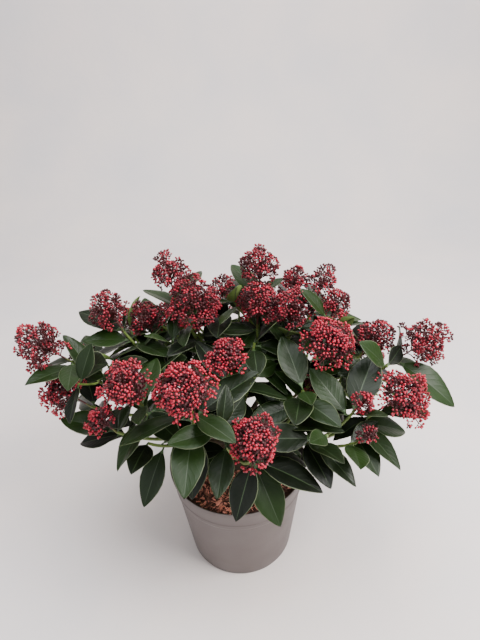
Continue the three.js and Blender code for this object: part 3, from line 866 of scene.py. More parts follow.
@functools.lru_cache(maxsize=1)
def grow_plant():
    """The whole plant's growth, worked out once for all the operators."""
    masses = [plot_mass(index) for index in range(len(MASSES))]
    thicket = plot_thicket(masses)
    leaves = grow_solid_leaves(masses, thicket)
    side_twigs, side_leaves = grow_side_twigs(masses, thicket)
    leaves += side_leaves + grow_finer_leaves(masses, thicket)
    return SimpleNamespace(masses=masses, leaves=leaves, side_twigs=side_twigs)


# Materials


def colour_of(value):
    """A linear colour of four numbers from the three of a property."""
    return (*value[:3], 1)


def srgb(red, green, blue):
    """The linear colour of an 8-bit sRGB one."""
    return tuple(
        part / 12.92 if part <= 0.04045 else ((part + 0.055) / 1.055) ** 2.4
        for part in (red / 255, green / 255, blue / 255)
    )


def new_tree(name, kind, inputs, outputs):
    """A node tree with named inputs, each of a kind with a default, and named outputs."""
    tree = bpy.data.node_groups.new(name, kind)
    for label, (socket, default) in inputs.items():
        made = tree.interface.new_socket(label, in_out="INPUT", socket_type=f"NodeSocket{socket}")
        if default is not None:
            made.default_value = default
    for label, socket in outputs.items():
        tree.interface.new_socket(label, in_out="OUTPUT", socket_type=f"NodeSocket{socket}")
    return tree, tree.nodes.new("NodeGroupInput").outputs, tree.nodes.new("NodeGroupOutput").inputs


def add_node(tree, kind, inputs=None, **settings):
    """A node with its settings, and a link or a value for each input, by name or number."""
    node = tree.nodes.new(kind)
    for key, value in settings.items():
        setattr(node, key, value)
    for key, value in (inputs or {}).items():
        if isinstance(value, bpy.types.NodeSocket):
            tree.links.new(value, node.inputs[key])
        else:
            node.inputs[key].default_value = value
    return node


def maths(tree, operation, *values):
    return add_node(tree, "ShaderNodeMath", dict(enumerate(values)), operation=operation).outputs[0]


def mottle_group():
    """Blotches of two tones, with the same noise as a value for roughness and bump."""
    if "Mottle" in bpy.data.node_groups:
        return bpy.data.node_groups["Mottle"]
    tree, given, result = new_tree("Mottle", "ShaderNodeTree", {
        "Vector": ("Vector", None), "Dark": ("Color", (0, 0, 0, 1)), "Light": ("Color", (1, 1, 1, 1)),
        "Scale": ("Float", 100), "Detail": ("Float", 3), "Contrast": ("Float", 1),
    }, {"Colour": "Color", "Value": "Float"})
    cloud = add_node(tree, "ShaderNodeTexNoise", {
        "Vector": given["Vector"], "Scale": given["Scale"], "Detail": given["Detail"],
    })
    centred = maths(tree, "SUBTRACT", cloud.outputs["Fac"], 0.5)
    spread = maths(tree, "MULTIPLY", centred, given["Contrast"])
    value = add_node(tree, "ShaderNodeMath", {0: spread, 1: 0.5}, operation="ADD", use_clamp=True)
    mix = add_node(tree, "ShaderNodeMix", {
        "Factor": value.outputs[0], 6: given["Dark"], 7: given["Light"],
    }, data_type="RGBA")
    tree.links.new(mix.outputs[2], result["Colour"])
    tree.links.new(value.outputs[0], result["Value"])
    return tree


def range_group():
    """A value from 0 to 1 spread between two limits."""
    if "Between" in bpy.data.node_groups:
        return bpy.data.node_groups["Between"]
    tree, given, result = new_tree("Between", "ShaderNodeTree", {
        "Value": ("Float", 0.5), "Least": ("Float", 0), "Most": ("Float", 1),
    }, {"Result": "Float"})
    span = maths(tree, "SUBTRACT", given["Most"], given["Least"])
    part = maths(tree, "MULTIPLY", given["Value"], span)
    tree.links.new(maths(tree, "ADD", part, given["Least"]), result["Result"])
    return tree


def vein_group():
    """Side veins of a leaf, from its own map: across on X and along on Y."""
    if "Leaf Veins" in bpy.data.node_groups:
        return bpy.data.node_groups["Leaf Veins"]
    tree, given, result = new_tree("Leaf Veins", "ShaderNodeTree", {
        "Vector": ("Vector", None), "Pairs": ("Float", 9), "Slant": ("Float", 5),
    }, {"Height": "Float"})
    parts = add_node(tree, "ShaderNodeSeparateXYZ", {0: given["Vector"]}).outputs
    side = maths(tree, "ABSOLUTE", maths(tree, "SUBTRACT", parts["X"], 0.5))
    slant = maths(tree, "MULTIPLY", side, given["Slant"])
    along = maths(tree, "MULTIPLY", parts["Y"], given["Pairs"])
    phase = maths(tree, "FRACT", maths(tree, "SUBTRACT", along, slant))
    hill = maths(tree, "ABSOLUTE", maths(tree, "SUBTRACT", phase, 0.5))
    ridge = maths(tree, "POWER", maths(tree, "MULTIPLY", hill, 2), 4)
    tree.links.new(ridge, result["Height"])
    return tree


def plain_finish(name, dark, light, *, scale, rough, relief=0.0, detail=3, contrast=1.6,
                 specular=0.5, relief_scale=None, veins=False, stretch=None):
    """A procedural finish: blotches of two tones, uneven roughness and a fine relief."""
    if name in bpy.data.materials:
        return bpy.data.materials[name]
    material = bpy.data.materials.new(name)
    material.use_nodes = True
    tree = material.node_tree
    shader = tree.nodes["Principled BSDF"].inputs
    place = add_node(tree, "ShaderNodeTexCoord").outputs["Object"]
    if stretch:
        place = add_node(tree, "ShaderNodeMapping", {"Vector": place, "Scale": stretch}).outputs["Vector"]
    blotch = add_node(tree, "ShaderNodeGroup", {
        "Vector": place, "Dark": colour_of(dark), "Light": colour_of(light), "Scale": scale,
        "Detail": detail, "Contrast": contrast,
    }, node_tree=mottle_group())
    tree.links.new(blotch.outputs["Colour"], shader["Base Color"])
    gloss = add_node(tree, "ShaderNodeGroup", {
        "Value": blotch.outputs["Value"], "Least": rough[0], "Most": rough[1],
    }, node_tree=range_group())
    tree.links.new(gloss.outputs["Result"], shader["Roughness"])
    if relief:
        grain = add_node(tree, "ShaderNodeGroup", {
            "Vector": place, "Scale": relief_scale or scale * 4, "Detail": 4, "Contrast": 1.5,
        }, node_tree=mottle_group())
        height = grain.outputs["Value"]
        if veins:
            own = add_node(tree, "ShaderNodeUVMap", uv_map="leaf").outputs["UV"]
            vein = add_node(tree, "ShaderNodeGroup", {"Vector": own}, node_tree=vein_group())
            height = maths(tree, "ADD", maths(tree, "MULTIPLY", height, 0.5), vein.outputs["Height"])
        bump = add_node(tree, "ShaderNodeBump", {"Distance": relief, "Height": height})
        tree.links.new(bump.outputs["Normal"], shader["Normal"])
    shader["Specular IOR Level"].default_value = specular
    return material


# Meshes


def show(obj):
    bpy.context.scene.collection.objects.link(obj)
    return obj


def mesh_from(name, points, faces, materials, indices=None, smooth=True, uv=None):
    """A mesh object from points in metres, with a material index and a map for each corner."""
    mesh = bpy.data.meshes.new(name)
    mesh.from_pydata([tuple(point) for point in points], [], faces)
    for material in materials:
        mesh.materials.append(material)
    if indices is not None:
        mesh.polygons.foreach_set("material_index", np.asarray(indices, np.int32))
    mesh.polygons.foreach_set("use_smooth", np.full(len(mesh.polygons), smooth, bool))
    if uv is not None:
        layer = mesh.uv_layers.new(name="leaf")
        layer.data.foreach_set("uv", np.asarray(uv, np.float32).ravel())
    mesh.update()
    return bpy.data.objects.new(name, mesh)


def finish_piece(obj, nodes):
    """The piece rides on the body, and the solids of its nodes are hidden."""
    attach(obj, BODY)
    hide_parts(*nodes)


def evaluated_copy(obj, name):
    """The plain mesh that an object's modifiers make, in an object of its own."""
    bpy.context.view_layer.update()
    graph = bpy.context.evaluated_depsgraph_get()
    mesh = bpy.data.meshes.new_from_object(obj.evaluated_get(graph), depsgraph=graph)
    mesh.name = name
    bpy.data.objects.remove(obj)
    if not mesh.polygons:
        raise RuntimeError(f"{name} has no faces")
    return show(bpy.data.objects.new(name, mesh))


def run_nodes(obj, group, values, name):
    """Runs a geometry node tree on an object and gives the plain result."""
    modifier = obj.modifiers.new("Nodes", "NODES")
    modifier.node_group = group
    identifiers = {
        item.name: item.identifier
        for item in group.interface.items_tree
        if item.item_type == "SOCKET" and item.in_out == "INPUT"
    }
    for key, value in values.items():
        modifier[identifiers[key]] = value
    return evaluated_copy(obj, name)


def named_number(tree, attribute, kind="FLOAT"):
    reader = add_node(tree, "GeometryNodeInputNamedAttribute", {"Name": attribute}, data_type=kind)
    return reader.outputs["Attribute"]


def field_compare(tree, attribute, value):
    """Whether a named number on the mesh is within a half of a value."""
    return add_node(tree, "FunctionNodeCompare", {
        "A": named_number(tree, attribute), "B": value, "Epsilon": 0.5,
    }, data_type="FLOAT", operation="EQUAL").outputs["Result"]


def paint(tree, flow, material, chosen):
    return add_node(tree, "GeometryNodeSetMaterial", {
        "Geometry": flow, "Selection": chosen, "Material": material,
    }).outputs["Geometry"]


def paint_kinds(tree, flow, attribute, materials):
    """Gives each kind of face its material, by a number on the mesh."""
    for kind, material in enumerate(materials):
        flow = paint(tree, flow, material, field_compare(tree, attribute, kind))
    return flow


# The bark's relief is drawn out along +Z
RELIEF_STRETCH = (1, 1, 0.35)


def tube_nodes(name, materials):
    """Tubes along the lines of a mesh, as thick as its points say, with a bark relief."""
    tree, given, result = new_tree(name, "GeometryNodeTree", {
        "Lines": ("Geometry", None), "Sides": ("Int", 8), "Relief": ("Float", 0.0),
        "Relief Scale": ("Float", 200.0),
    }, {"Tubes": "Geometry"})
    curves = add_node(tree, "GeometryNodeMeshToCurve", {"Mesh": given["Lines"]})
    ring = add_node(tree, "GeometryNodeCurvePrimitiveCircle", {"Resolution": given["Sides"], "Radius": 1})
    sweep = add_node(tree, "GeometryNodeCurveToMesh", {
        "Curve": curves.outputs["Curve"], "Profile Curve": ring.outputs["Curve"],
        "Scale": named_number(tree, "thickness"), "Fill Caps": True,
    })
    place = add_node(tree, "GeometryNodeInputPosition").outputs[0]
    stretched = add_node(tree, "ShaderNodeVectorMath", {0: place, 1: RELIEF_STRETCH}, operation="MULTIPLY")
    cloud = add_node(tree, "ShaderNodeTexNoise", {
        "Vector": stretched.outputs[0], "Scale": given["Relief Scale"], "Detail": 3,
    })
    height = maths(tree, "SUBTRACT", cloud.outputs["Fac"], 0.5)
    offset = add_node(tree, "ShaderNodeVectorMath", {
        0: add_node(tree, "GeometryNodeInputNormal").outputs[0],
        "Scale": maths(tree, "MULTIPLY", height, given["Relief"]),
    }, operation="SCALE")
    move = add_node(tree, "GeometryNodeSetPosition", {
        "Geometry": sweep.outputs["Mesh"], "Offset": offset.outputs[0],
    })
    smooth = add_node(tree, "GeometryNodeSetShadeSmooth", {"Geometry": move.outputs["Geometry"]})
    real = add_node(tree, "GeometryNodeRealizeInstances", {"Geometry": smooth.outputs["Geometry"]})
    tree.links.new(paint_kinds(tree, real.outputs["Geometry"], "kind", materials), result["Tubes"])
    return tree


def store_numbers(mesh, label, values, domain="POINT"):
    layer = mesh.attributes.new(label, "FLOAT", domain)
    layer.data.foreach_set("value", np.array(values, np.float32))


def line_object(name, lines):
    """An object of open lines. Each line has rows of a place, a thickness and a kind."""
    points = []
    edges = []
    thickness = []
    kinds = []
    for rows in lines:
        first = len(points)
        for place, radius, kind in rows:
            points.append(tuple(place * MM))
            thickness.append(radius * MM)
            kinds.append(kind)
        edges += [(index, index + 1) for index in range(first, len(points) - 1)]
    mesh = bpy.data.meshes.new(name)
    mesh.from_pydata(points, edges, [])
    store_numbers(mesh, "thickness", thickness)
    store_numbers(mesh, "kind", kinds)
    return show(bpy.data.objects.new(name, mesh))


# Leaf meshes

TOP_COLUMNS = (-1, -0.95, -0.5, -0.036, 0.036, 0.5, 0.95, 1)
UNDER_COLUMNS = (0.09, -0.09)
COLUMNS = TOP_COLUMNS + UNDER_COLUMNS
LEAF_ROWS = (0, 0.07, 0.125, 0.2, 0.31, 0.44, 0.58, 0.72, 0.84, 0.92, 0.968)
PETIOLE_ROWS = 2
PETIOLE_WAIST = 0.9
PETIOLE_END = 0.07
PETIOLE_BLEND = 0.12
MARGIN, RIB, UNDERSIDE, PETIOLE, BLADE = range(5)
TOP_PARTS = (MARGIN, BLADE, BLADE, RIB, BLADE, BLADE, MARGIN)
UNDER_PARTS = (UNDERSIDE, RIB, UNDERSIDE)
BLADE_FROM = 0.09
BLADE_FULLNESS = (0.92, 0.82)
LEAF_SWAY = 0.05
WAVE_DEPTH = 0.014
WAVE_LEAST = 0.4
WAVE_ANGLE = 9
FOLD_STEEP = 1.3
FOLD_EASE = 0.3
RIB_DEPTH = 0.55
GROOVE_DEPTH = 0.12
GROOVE_HALF = 0.1
BLADE_TINTS = 5
TINT_LOW = 260
TINT_RISE = 160
TINT_BY_HEIGHT = 0.2
LEAF_STEP = 1000003


def blade_share(share):
    """How wide a leaf is at a share of its length, from 0 to 1."""
    inner = clamp((share - BLADE_FROM) / (1 - BLADE_FROM))
    first, last = BLADE_FULLNESS
    return math.sin(math.pi * inner ** first) ** last if 0 < inner < 1 else 0


def leaf_mesh_rows(leaf, settings, chance):
    """The rings of a leaf's mesh from petiole to tip, and its tip."""
    across = np.cross(leaf.over, leaf.along)
    length = leaf.length
    petiole = settings.petiole / MM / 2
    thick = settings.thickness / MM / 2
    sway = (chance.random() - 0.5) * LEAF_SWAY * length
    wave = WAVE_DEPTH * length * (WAVE_LEAST + chance.random())
    phase = chance.random(2) * 2 * math.pi
    columns = np.array(COLUMNS)
    reach = np.abs(columns)
    is_under = np.arange(len(columns)) >= len(TOP_COLUMNS)
    sign = np.where(is_under, -1.0, 1.0) * (reach < 1)
    round_share = np.sqrt(np.clip(1 - columns * columns, 0, 1))
    rings = []
    for index, share in enumerate(LEAF_ROWS):
        waist = 1 if index < PETIOLE_ROWS else PETIOLE_WAIST
        width = max(leaf.width / 2 * blade_share(share), petiole * waist)
        spread = clamp((share - PETIOLE_END) / PETIOLE_BLEND)
        depth = petiole * (1 - spread) + thick * spread
        fold = LEAF_FOLD * width * (FOLD_STEEP * reach - FOLD_EASE * reach ** 3) * spread
        fold_wave = wave * columns ** 2 * spread * np.sin(
            share * WAVE_ANGLE + np.where(columns < 0, phase[0], phase[1])
        )
        rib = np.where(is_under, -RIB_DEPTH * (1 - share) * spread, 0.0)
        groove = np.where(~is_under & (reach < GROOVE_HALF), -GROOVE_DEPTH * spread, 0.0)
        lift = fold + fold_wave + sign * depth * (round_share * (1 - spread) + spread) + rib + groove
        side = columns * width + sway * share * share
        down = leaf.arch * length * share * share
        rings.append(
            leaf.root + leaf.along * (length * share)
            + across * side[:, None] + leaf.over * (lift - down)[:, None]
        )
    tip = leaf.root + leaf.along * length + across * sway - leaf.over * leaf.arch * length
    return rings, tip


def leaf_topology():
    """Faces, parts and map corners that every leaf shares."""
    ring = len(COLUMNS)
    across = [0.5 + 0.5 * column for column in COLUMNS]
    parts = TOP_PARTS + UNDER_PARTS
    faces = [tuple(range(ring))]
    kinds = [PETIOLE]
    corners = [(0.5, 0)] * ring
    for row, (low, high) in enumerate(zip(LEAF_ROWS, LEAF_ROWS[1:])):
        base = row * ring
        for column in range(ring):
            after = (column + 1) % ring
            faces.append((base + column, base + ring + column, base + ring + after, base + after))
            kinds.append(PETIOLE if row < PETIOLE_ROWS else parts[column])
            corners += [
                (across[column], low), (across[column], high), (across[after], high), (across[after], low),
            ]
    base = (len(LEAF_ROWS) - 1) * ring
    tip = len(LEAF_ROWS) * ring
    for column in range(ring):
        after = (column + 1) % ring
        faces.append((base + column, tip, base + after))
        kinds.append(parts[column])
        corners += [(across[column], LEAF_ROWS[-1]), (0.5, 1), (across[after], LEAF_ROWS[-1])]
    return faces, kinds, corners


def tint_of(leaf, chance):
    """Which green a leaf has: upper leaves are more often the lighter ones."""
    height = clamp((leaf.root[2] - TINT_LOW) / TINT_RISE)
    value = chance.random() * (1 - TINT_BY_HEIGHT) + TINT_BY_HEIGHT * height
    return min(BLADE_TINTS - 1, int(value * BLADE_TINTS))


def make_leaves(name, leaves, settings, materials):
    faces, kinds, corners = leaf_topology()
    kinds = np.array(kinds)
    count = len(COLUMNS) * len(LEAF_ROWS) + 1
    points = []
    all_faces = []
    indices = []
    for index, leaf in enumerate(leaves):
        own = int(leaf.length * 1000) % 100000
        chance = np.random.default_rng(SEED * LEAF_STEP + leaf.shoot * SHOOT_STEP + own)
        rings, tip = leaf_mesh_rows(leaf, settings, chance)
        points.append(np.vstack(rings + [tip[None]]))
        first = index * count
        all_faces += [tuple(first + corner for corner in face) for face in faces]
        tint = tint_of(leaf, chance)
        indices.append(np.where(kinds == BLADE, BLADE + tint, kinds))
    return mesh_from(
        name, np.vstack(points) * MM, all_faces, materials, np.concatenate(indices),
        uv=np.tile(np.array(corners), (len(leaves), 1)),
    )


# Panicles

# The two kinds: dark and open at the back and along the outline, and red and dense in front. The dark
# of the back panicles is painted shade: more of their buds take the deep red and maroon tints. Each
# has a least number of lobes, how far out they reach, how much the top narrows, the whole shape,
# the limits of the dark tints, and the crowding and size of the buds inside.
AIRY = SimpleNamespace(
    fewest=9, reach=(0.86, 1.16), taper=0.42, shape=(0.98, 0.98, 1.32), tints=(0.38, 0.8),
    inner_area=90, inner_size=1,
)
DENSE = SimpleNamespace(
    fewest=7, reach=(0.78, 1.18), taper=0.16, shape=(1.02, 1.02, 1.0), tints=(0.07, 0.36),
    inner_area=42, inner_size=1.4,
)
AIRY_DEPTH = 10
AIRY_WIDTH = 36
PANICLE_STEP = 7919

# Lobes: how many a panicle of a given width has, their spread and size, and strays low down.
# Pairs are a least value and the most that chance adds to it.
LOBES = 21
LOBES_WIDTH = 64
LOBES_POWER = 1.1
LOBES_LOWEST = -0.5
LOBE_GIRTH = 0.175
LOBE_RADII = (0.8, 0.4)
LOBE_JITTER = 0.09
LOBE_UNDERSIDE = -0.2
LOBE_OVERLAP = 0.8
STRAYS = 6
STRAYS_LEAST = 2
STRAYS_LOWEST = -0.85
STRAYS_TURN = 2
STRAY_JITTER = 0.12
STRAY_REACH = (0.9, 0.35)
STRAY_RADII = (0.45, 0.2)
WAYS_FROM = 0.28

# Stalks: the main one, the branch to each lobe, and the thin ones to the tufts of buds
PEDUNCLE_KIND, STALK_KIND = range(2)
STALK_TOP = 0.12
STALK_ROOT = 2
STALK_BEND = 0.6
STALK_RADII = (1.55, 1.2, 0.7)
BRANCH_RISE = 0.5
BRANCH_DIP = 0.22
BRANCH_LIMITS = (-0.42, 0.1)
BRANCH_UPRIGHT = 0.6
BRANCH_OUT = 0.7
BRANCH_RADII = (1.0, 0.7)
NODE_DEPTH = 0.45
TUFT_RADII = (0.62, 0.42)
TUFT_LEAN = 0.3
BUD_STALK_RADII = (0.42, 0.34)
BUD_SEAT = 0.3

# Tufts of buds over a lobe, looser low down and on one side
TUFTS_LEAST = 4
TUFT_BUDS = 4
TUFT_JITTER = 0.12
TUFT_REACH = (0.86, 0.2)
TUFT_ROOM = 0.72
AIM_OUT = 0.5
AIM_UP = 0.25
LOOSE_FROM = 0.3
LOOSE_UP = 0.12
LOOSE_BELOW = -0.06
LOOSE_SPACING = 1.4

# Buds deep inside, which close the view through a panicle. Their maroon tint is painted shade of the
# panicle's inside.
INNER_BUDS = 3
INNER_TINT = 2
INNER_LOWEST = -0.4
INNER_TURN = 1
INNER_JITTER = 0.1
INNER_REACH = (0.55, 0.3)
INNER_DENSE_REACH = 0.66
INNER_ROOT = 0.2
INNER_RADII = (0.6, 0.42)

# One tuft and one bud
UMBEL_DEPTH = 4.4
UMBEL_STALK = 0.3
UMBEL_STALKS = (0.75, 0.5)
UMBEL_SPREAD = 0.76
UMBEL_SPREADS = (0.8, 0.4)
UMBEL_LAG = 0.3
BUD_SIZES = (0.68, 0.54)
BUD_RINGS = ((0.0, 0.3), (0.38, 1.0), (0.8, 0.72))
BUD_HEIGHTS = (0.02, 0.98)
BUD_SIDES = 5
CALYX, BODY_ZONE, TIP_ZONE = range(3)


def sphere_directions(count, lowest, turn):
    """Even directions on a ball from its top down to a lowest height, as a spiral."""
    index = np.arange(count) + 0.5
    height = 1 - (1 - lowest) * index / count
    reach = np.sqrt(np.clip(1 - height * height, 0, 1))
    angle = np.radians(GOLDEN_ANGLE) * index + turn
    return np.stack((np.cos(angle) * reach, np.sin(angle) * reach, height), -1)


def head_reach(ways, width):
    """How far the surface of a panicle lies from its middle in each direction."""
    up = width * np.where(ways[:, 2] < 0, HEAD_UNDERSIDE, HEAD_RISE) * 2 * HEAD_SHARE
    flat = width * HEAD_SHARE
    return 1 / np.sqrt((ways[:, 0] / flat) ** 2 + (ways[:, 1] / flat) ** 2 + (ways[:, 2] / up) ** 2)


def bent_line(start, end, lean, radii, kind, steps=2):
    """A stalk's line from one place to another that first follows a direction."""
    span = distance(start, end)
    curve = (start, start + lean * span * 0.5, end)
    return [
        (on_curve(curve, step / steps), radii[0] + (radii[1] - radii[0]) * step / steps, kind)
        for step in range(steps + 1)
    ]


def frame_of(way):
    """Three directions at right angles, as rows, with the given one last."""
    across = across_of(way)
    return np.stack((across, np.cross(way, across), way))


def jittered(ways, amount, chance):
    ways = ways + chance.normal(0, amount, ways.shape)
    return ways / np.linalg.norm(ways, axis=1)[:, None]


def plot_lobes(shoot, kind, chance):
    """The rounded clusters that make up a panicle: the middle, radius and way of each."""
    width = shoot.width
    girth = width * LOBE_GIRTH
    count = max(kind.fewest, round(LOBES * (width / LOBES_WIDTH) ** LOBES_POWER))
    turn = chance.random() * WHOLE_TURN
    ways = jittered(sphere_directions(count, LOBES_LOWEST, turn), LOBE_JITTER, chance)
    reach = head_reach(ways, width) * between(*kind.reach, chance.random(count))
    radii = girth * varied(LOBE_RADII, chance.random(count))
    strays = max(STRAYS_LEAST, round(STRAYS * width / LOBES_WIDTH))
    low_ways = sphere_directions(strays * 3, STRAYS_LOWEST, turn + STRAYS_TURN)[-strays * 2::2]
    low_ways = jittered(low_ways, STRAY_JITTER, chance)
    low_reach = head_reach(low_ways, width) * varied(STRAY_REACH, chance.random(len(low_ways)))
    low_radii = girth * varied(STRAY_RADII, chance.random(len(low_ways)))
    radii = np.concatenate((radii, low_radii))
    local = np.vstack((ways, low_ways)) * (np.concatenate((reach, low_reach)) - radii)[:, None]
    rise = np.clip(local[:, 2] / (width * HEAD_RISE), 0, 1)
    local[:, :2] *= (1 - kind.taper * rise)[:, None]
    local *= kind.shape
    ways = local + (0, 0, width * WAYS_FROM)
    ways /= np.linalg.norm(ways, axis=1)[:, None]
    basis = frame_of(shoot.axis)
    return shoot.middle + local @ basis, radii, ways @ basis


def make_umbel(joint, way, count, size, chance):
    """The buds at the end of a stalk, spread round it."""
    across = across_of(way)
    over = np.cross(way, across)
    turn = chance.random() * WHOLE_TURN
    rows = []
    for index in range(count):
        tilt = UMBEL_SPREAD * varied(UMBEL_SPREADS, chance.random())
        angle = turn + WHOLE_TURN * (index + UMBEL_LAG * chance.random()) / count
        out = across * math.cos(angle) + over * math.sin(angle)
        aim = way * math.cos(tilt) + out * math.sin(tilt)
        scale = varied(BUD_SIZES, chance.random())
        stalk = varied(UMBEL_STALKS, chance.random())
        rows.append((joint + aim * size * UMBEL_STALK * stalk, aim, scale))
    return rows


def tint_of_buds(kind, chance):
    """Which tint a tuft has: 0 for red, 1 for deep red and 2 for maroon."""
    draw = chance.random()
    return sum(draw < limit for limit in kind.tints)


def main_stalk(shoot):
    """The stalk that carries a panicle, from the tip of its twig to above its middle."""
    top = shoot.middle + shoot.axis * shoot.width * STALK_TOP
    first, bend, end = STALK_RADII
    return [
        (shoot.tip - shoot.axis * STALK_ROOT, TWIG_TIP_RADIUS, PEDUNCLE_KIND),
        (shoot.tip + shoot.axis * PEDUNCLE * STALK_BEND, first, PEDUNCLE_KIND),
        (between(shoot.tip, top, STALK_BEND), bend, STALK_KIND),
        (top, end, STALK_KIND),
    ]


def plot_tufts(lobe, others, gap, chance):
    """The place and way of each tuft over a lobe, where no other lobe covers it."""
    middle, radius, way = lobe
    area = 2 * math.pi * radius * radius * (1 - LOBE_UNDERSIDE)
    count = max(TUFTS_LEAST, round(area / gap ** 2))
    outs = sphere_directions(count, LOBE_UNDERSIDE, chance.random() * WHOLE_TURN)
    outs = jittered(outs, TUFT_JITTER, chance) @ frame_of(way)
    places = middle + outs * (radius * varied(TUFT_REACH, chance.random(count)))[:, None]
    middles, radii = others
    gaps = np.linalg.norm(places[:, None] - middles[None], axis=2)
    outside = (gaps > radii[None] * LOBE_OVERLAP).all(1)
    return zip(places[outside], outs[outside])


def fill_panicle(shoot, kind, spacing, chance):
    """The buds inside a panicle, maroon as painted shade of its inside, on stalks where the view goes
    through.
    """
    width = shoot.width
    inner = sphere_directions(round(width * width / kind.inner_area), INNER_LOWEST, INNER_TURN)
    inner = jittered(inner, INNER_JITTER, chance)
    share = varied(INNER_REACH, chance.random(len(inner))) if kind is AIRY else INNER_DENSE_REACH
    places = inner * (head_reach(inner, width) * share)[:, None]
    basis = frame_of(shoot.axis)
    root = shoot.middle - shoot.axis * width * INNER_ROOT
    lines = []
    buds = []
    for place, way in zip(shoot.middle + places @ basis, inner @ basis):
        joint = place - way * UMBEL_DEPTH
        if kind is AIRY:
            lines.append(bent_line(root, joint, way, INNER_RADII, STALK_KIND))
        for base, bud_way, scale in make_umbel(joint, way, INNER_BUDS, spacing, chance):
            buds.append((base, bud_way, scale * kind.inner_size, INNER_TINT))
    return lines, buds


def make_panicle(shoot, settings):
    """The stalks and buds of one panicle."""
    chance = np.random.default_rng(SEED * PANICLE_STEP + shoot.id)
    is_airy = shoot.middle[1] > AIRY_DEPTH or shoot.width < AIRY_WIDTH
    kind = AIRY if is_airy else DENSE
    width = shoot.width
    spacing = settings.spacing / MM
    middles, radii, ways = plot_lobes(shoot, kind, chance)
    loose_side = polar(360 * chance.random(), 1, 0) @ frame_of(shoot.axis)
    lines = [main_stalk(shoot)]
    buds = []
    taken = np.zeros((0, 3))
    for index, (middle, radius, way) in enumerate(zip(middles, radii, ways)):
        height = (middle - shoot.middle) @ shoot.axis
        low = clamp(height / width * BRANCH_RISE - BRANCH_DIP, *BRANCH_LIMITS) * width
        node = middle - way * radius * NODE_DEPTH
        lean = unit(shoot.axis * BRANCH_UPRIGHT + way * BRANCH_OUT)
        root = shoot.middle + shoot.axis * low
        lines.append(bent_line(root, node, lean, BRANCH_RADII, STALK_KIND, 3))
        limit = LOOSE_UP if way @ loose_side > LOOSE_FROM else LOOSE_BELOW
        is_loose = kind is DENSE and height < limit * width
        gap = spacing * LOOSE_SPACING if is_loose else spacing
        others = (np.delete(middles, index, 0), np.delete(radii, index))
        for place, out in plot_tufts((middle, radius, way), others, gap, chance):
            if (((taken - place) ** 2).sum(1) < (gap * TUFT_ROOM) ** 2).any():
                continue
            taken = np.vstack((taken, place[None]))
            aim = unit(out + way * AIM_OUT + shoot.axis * AIM_UP)
            joint = place - aim * UMBEL_DEPTH
            lines.append(bent_line(node, joint, unit(way + out * TUFT_LEAN), TUFT_RADII, STALK_KIND))
            tint = tint_of_buds(kind, chance)
            for base, bud_way, scale in make_umbel(joint, aim, TUFT_BUDS, gap, chance):
                ends = (joint, base + bud_way * BUD_SEAT)
                lines.append([(end, girth, STALK_KIND) for end, girth in zip(ends, BUD_STALK_RADII)])
                buds.append((base, bud_way, scale, tint))
    inner_lines, inner_buds = fill_panicle(shoot, kind, spacing, chance)
    return lines + inner_lines, buds + inner_buds


def bud_template(settings):
    """One flower bud with its base at the origin, pointing up, and the zone of each face."""
    length = settings.bud_length
    radius = settings.bud_width / 2
    points = [(0, 0, 0)]
    for share, girth in BUD_RINGS:
        for side in range(BUD_SIDES):
            angle = 2 * math.pi * side / BUD_SIDES
            place = (math.cos(angle) * radius * girth, math.sin(angle) * radius * girth)
            points.append((*place, length * varied(BUD_HEIGHTS, share)))
    points.append((0, 0, length))
    faces = []
    zones = []
    for side in range(BUD_SIDES):
        after = (side + 1) % BUD_SIDES
        faces.append((0, 1 + after, 1 + side))
        zones.append(CALYX)
        for ring in range(len(BUD_RINGS) - 1):
            low = 1 + ring * BUD_SIDES
            faces.append((low + side, low + after, low + BUD_SIDES + after, low + BUD_SIDES + side))
            zones.append(BODY_ZONE)
        low = 1 + (len(BUD_RINGS) - 1) * BUD_SIDES
        faces.append((low + side, low + after, len(points) - 1))
        zones.append(TIP_ZONE)
    obj = mesh_from("bud_template", points, faces, [])
    store_numbers(obj.data, "zone", zones, "FACE")
    return show(obj)


def bud_nodes(materials):
    """A bud on every point, turned along its aim, painted by its zone and its head's tint."""
    tree, given, result = new_tree("Buds", "GeometryNodeTree", {
        "Points": ("Geometry", None), "Bud": ("Object", None), "Size": ("Float", 1.0),
    }, {"Buds": "Geometry"})
    bud = add_node(tree, "GeometryNodeObjectInfo", {"Object": given["Bud"]})
    aim = named_number(tree, "aim", "FLOAT_VECTOR")
    turn = add_node(tree, "FunctionNodeAlignRotationToVector", {"Vector": aim}, axis="Z")
    place = add_node(tree, "GeometryNodeInstanceOnPoints", {
        "Points": given["Points"], "Instance": bud.outputs["Geometry"],
        "Rotation": turn.outputs["Rotation"],
        "Scale": maths(tree, "MULTIPLY", named_number(tree, "size"), given["Size"]),
    })
    real = add_node(tree, "GeometryNodeRealizeInstances", {"Geometry": place.outputs["Instances"]})
    flow = real.outputs["Geometry"]
    for material, tint, zone in materials:
        chosen = field_compare(tree, "tint", tint)
        if zone is not None:
            chosen = maths(tree, "MULTIPLY", chosen, field_compare(tree, "zone", zone))
        flow = paint(tree, flow, material, chosen)
    tree.links.new(flow, result["Buds"])
    return tree


def bud_points(name, buds):
    mesh = bpy.data.meshes.new(name)
    mesh.from_pydata([tuple(bud[0] * MM) for bud in buds], [], [])
    aim = mesh.attributes.new("aim", "FLOAT_VECTOR", "POINT")
    aim.data.foreach_set("vector", np.array([bud[1] for bud in buds], np.float32).ravel())
    store_numbers(mesh, "size", [bud[2] for bud in buds])
    store_numbers(mesh, "tint", [bud[3] for bud in buds])
    return show(bpy.data.objects.new(name, mesh))


# Settings


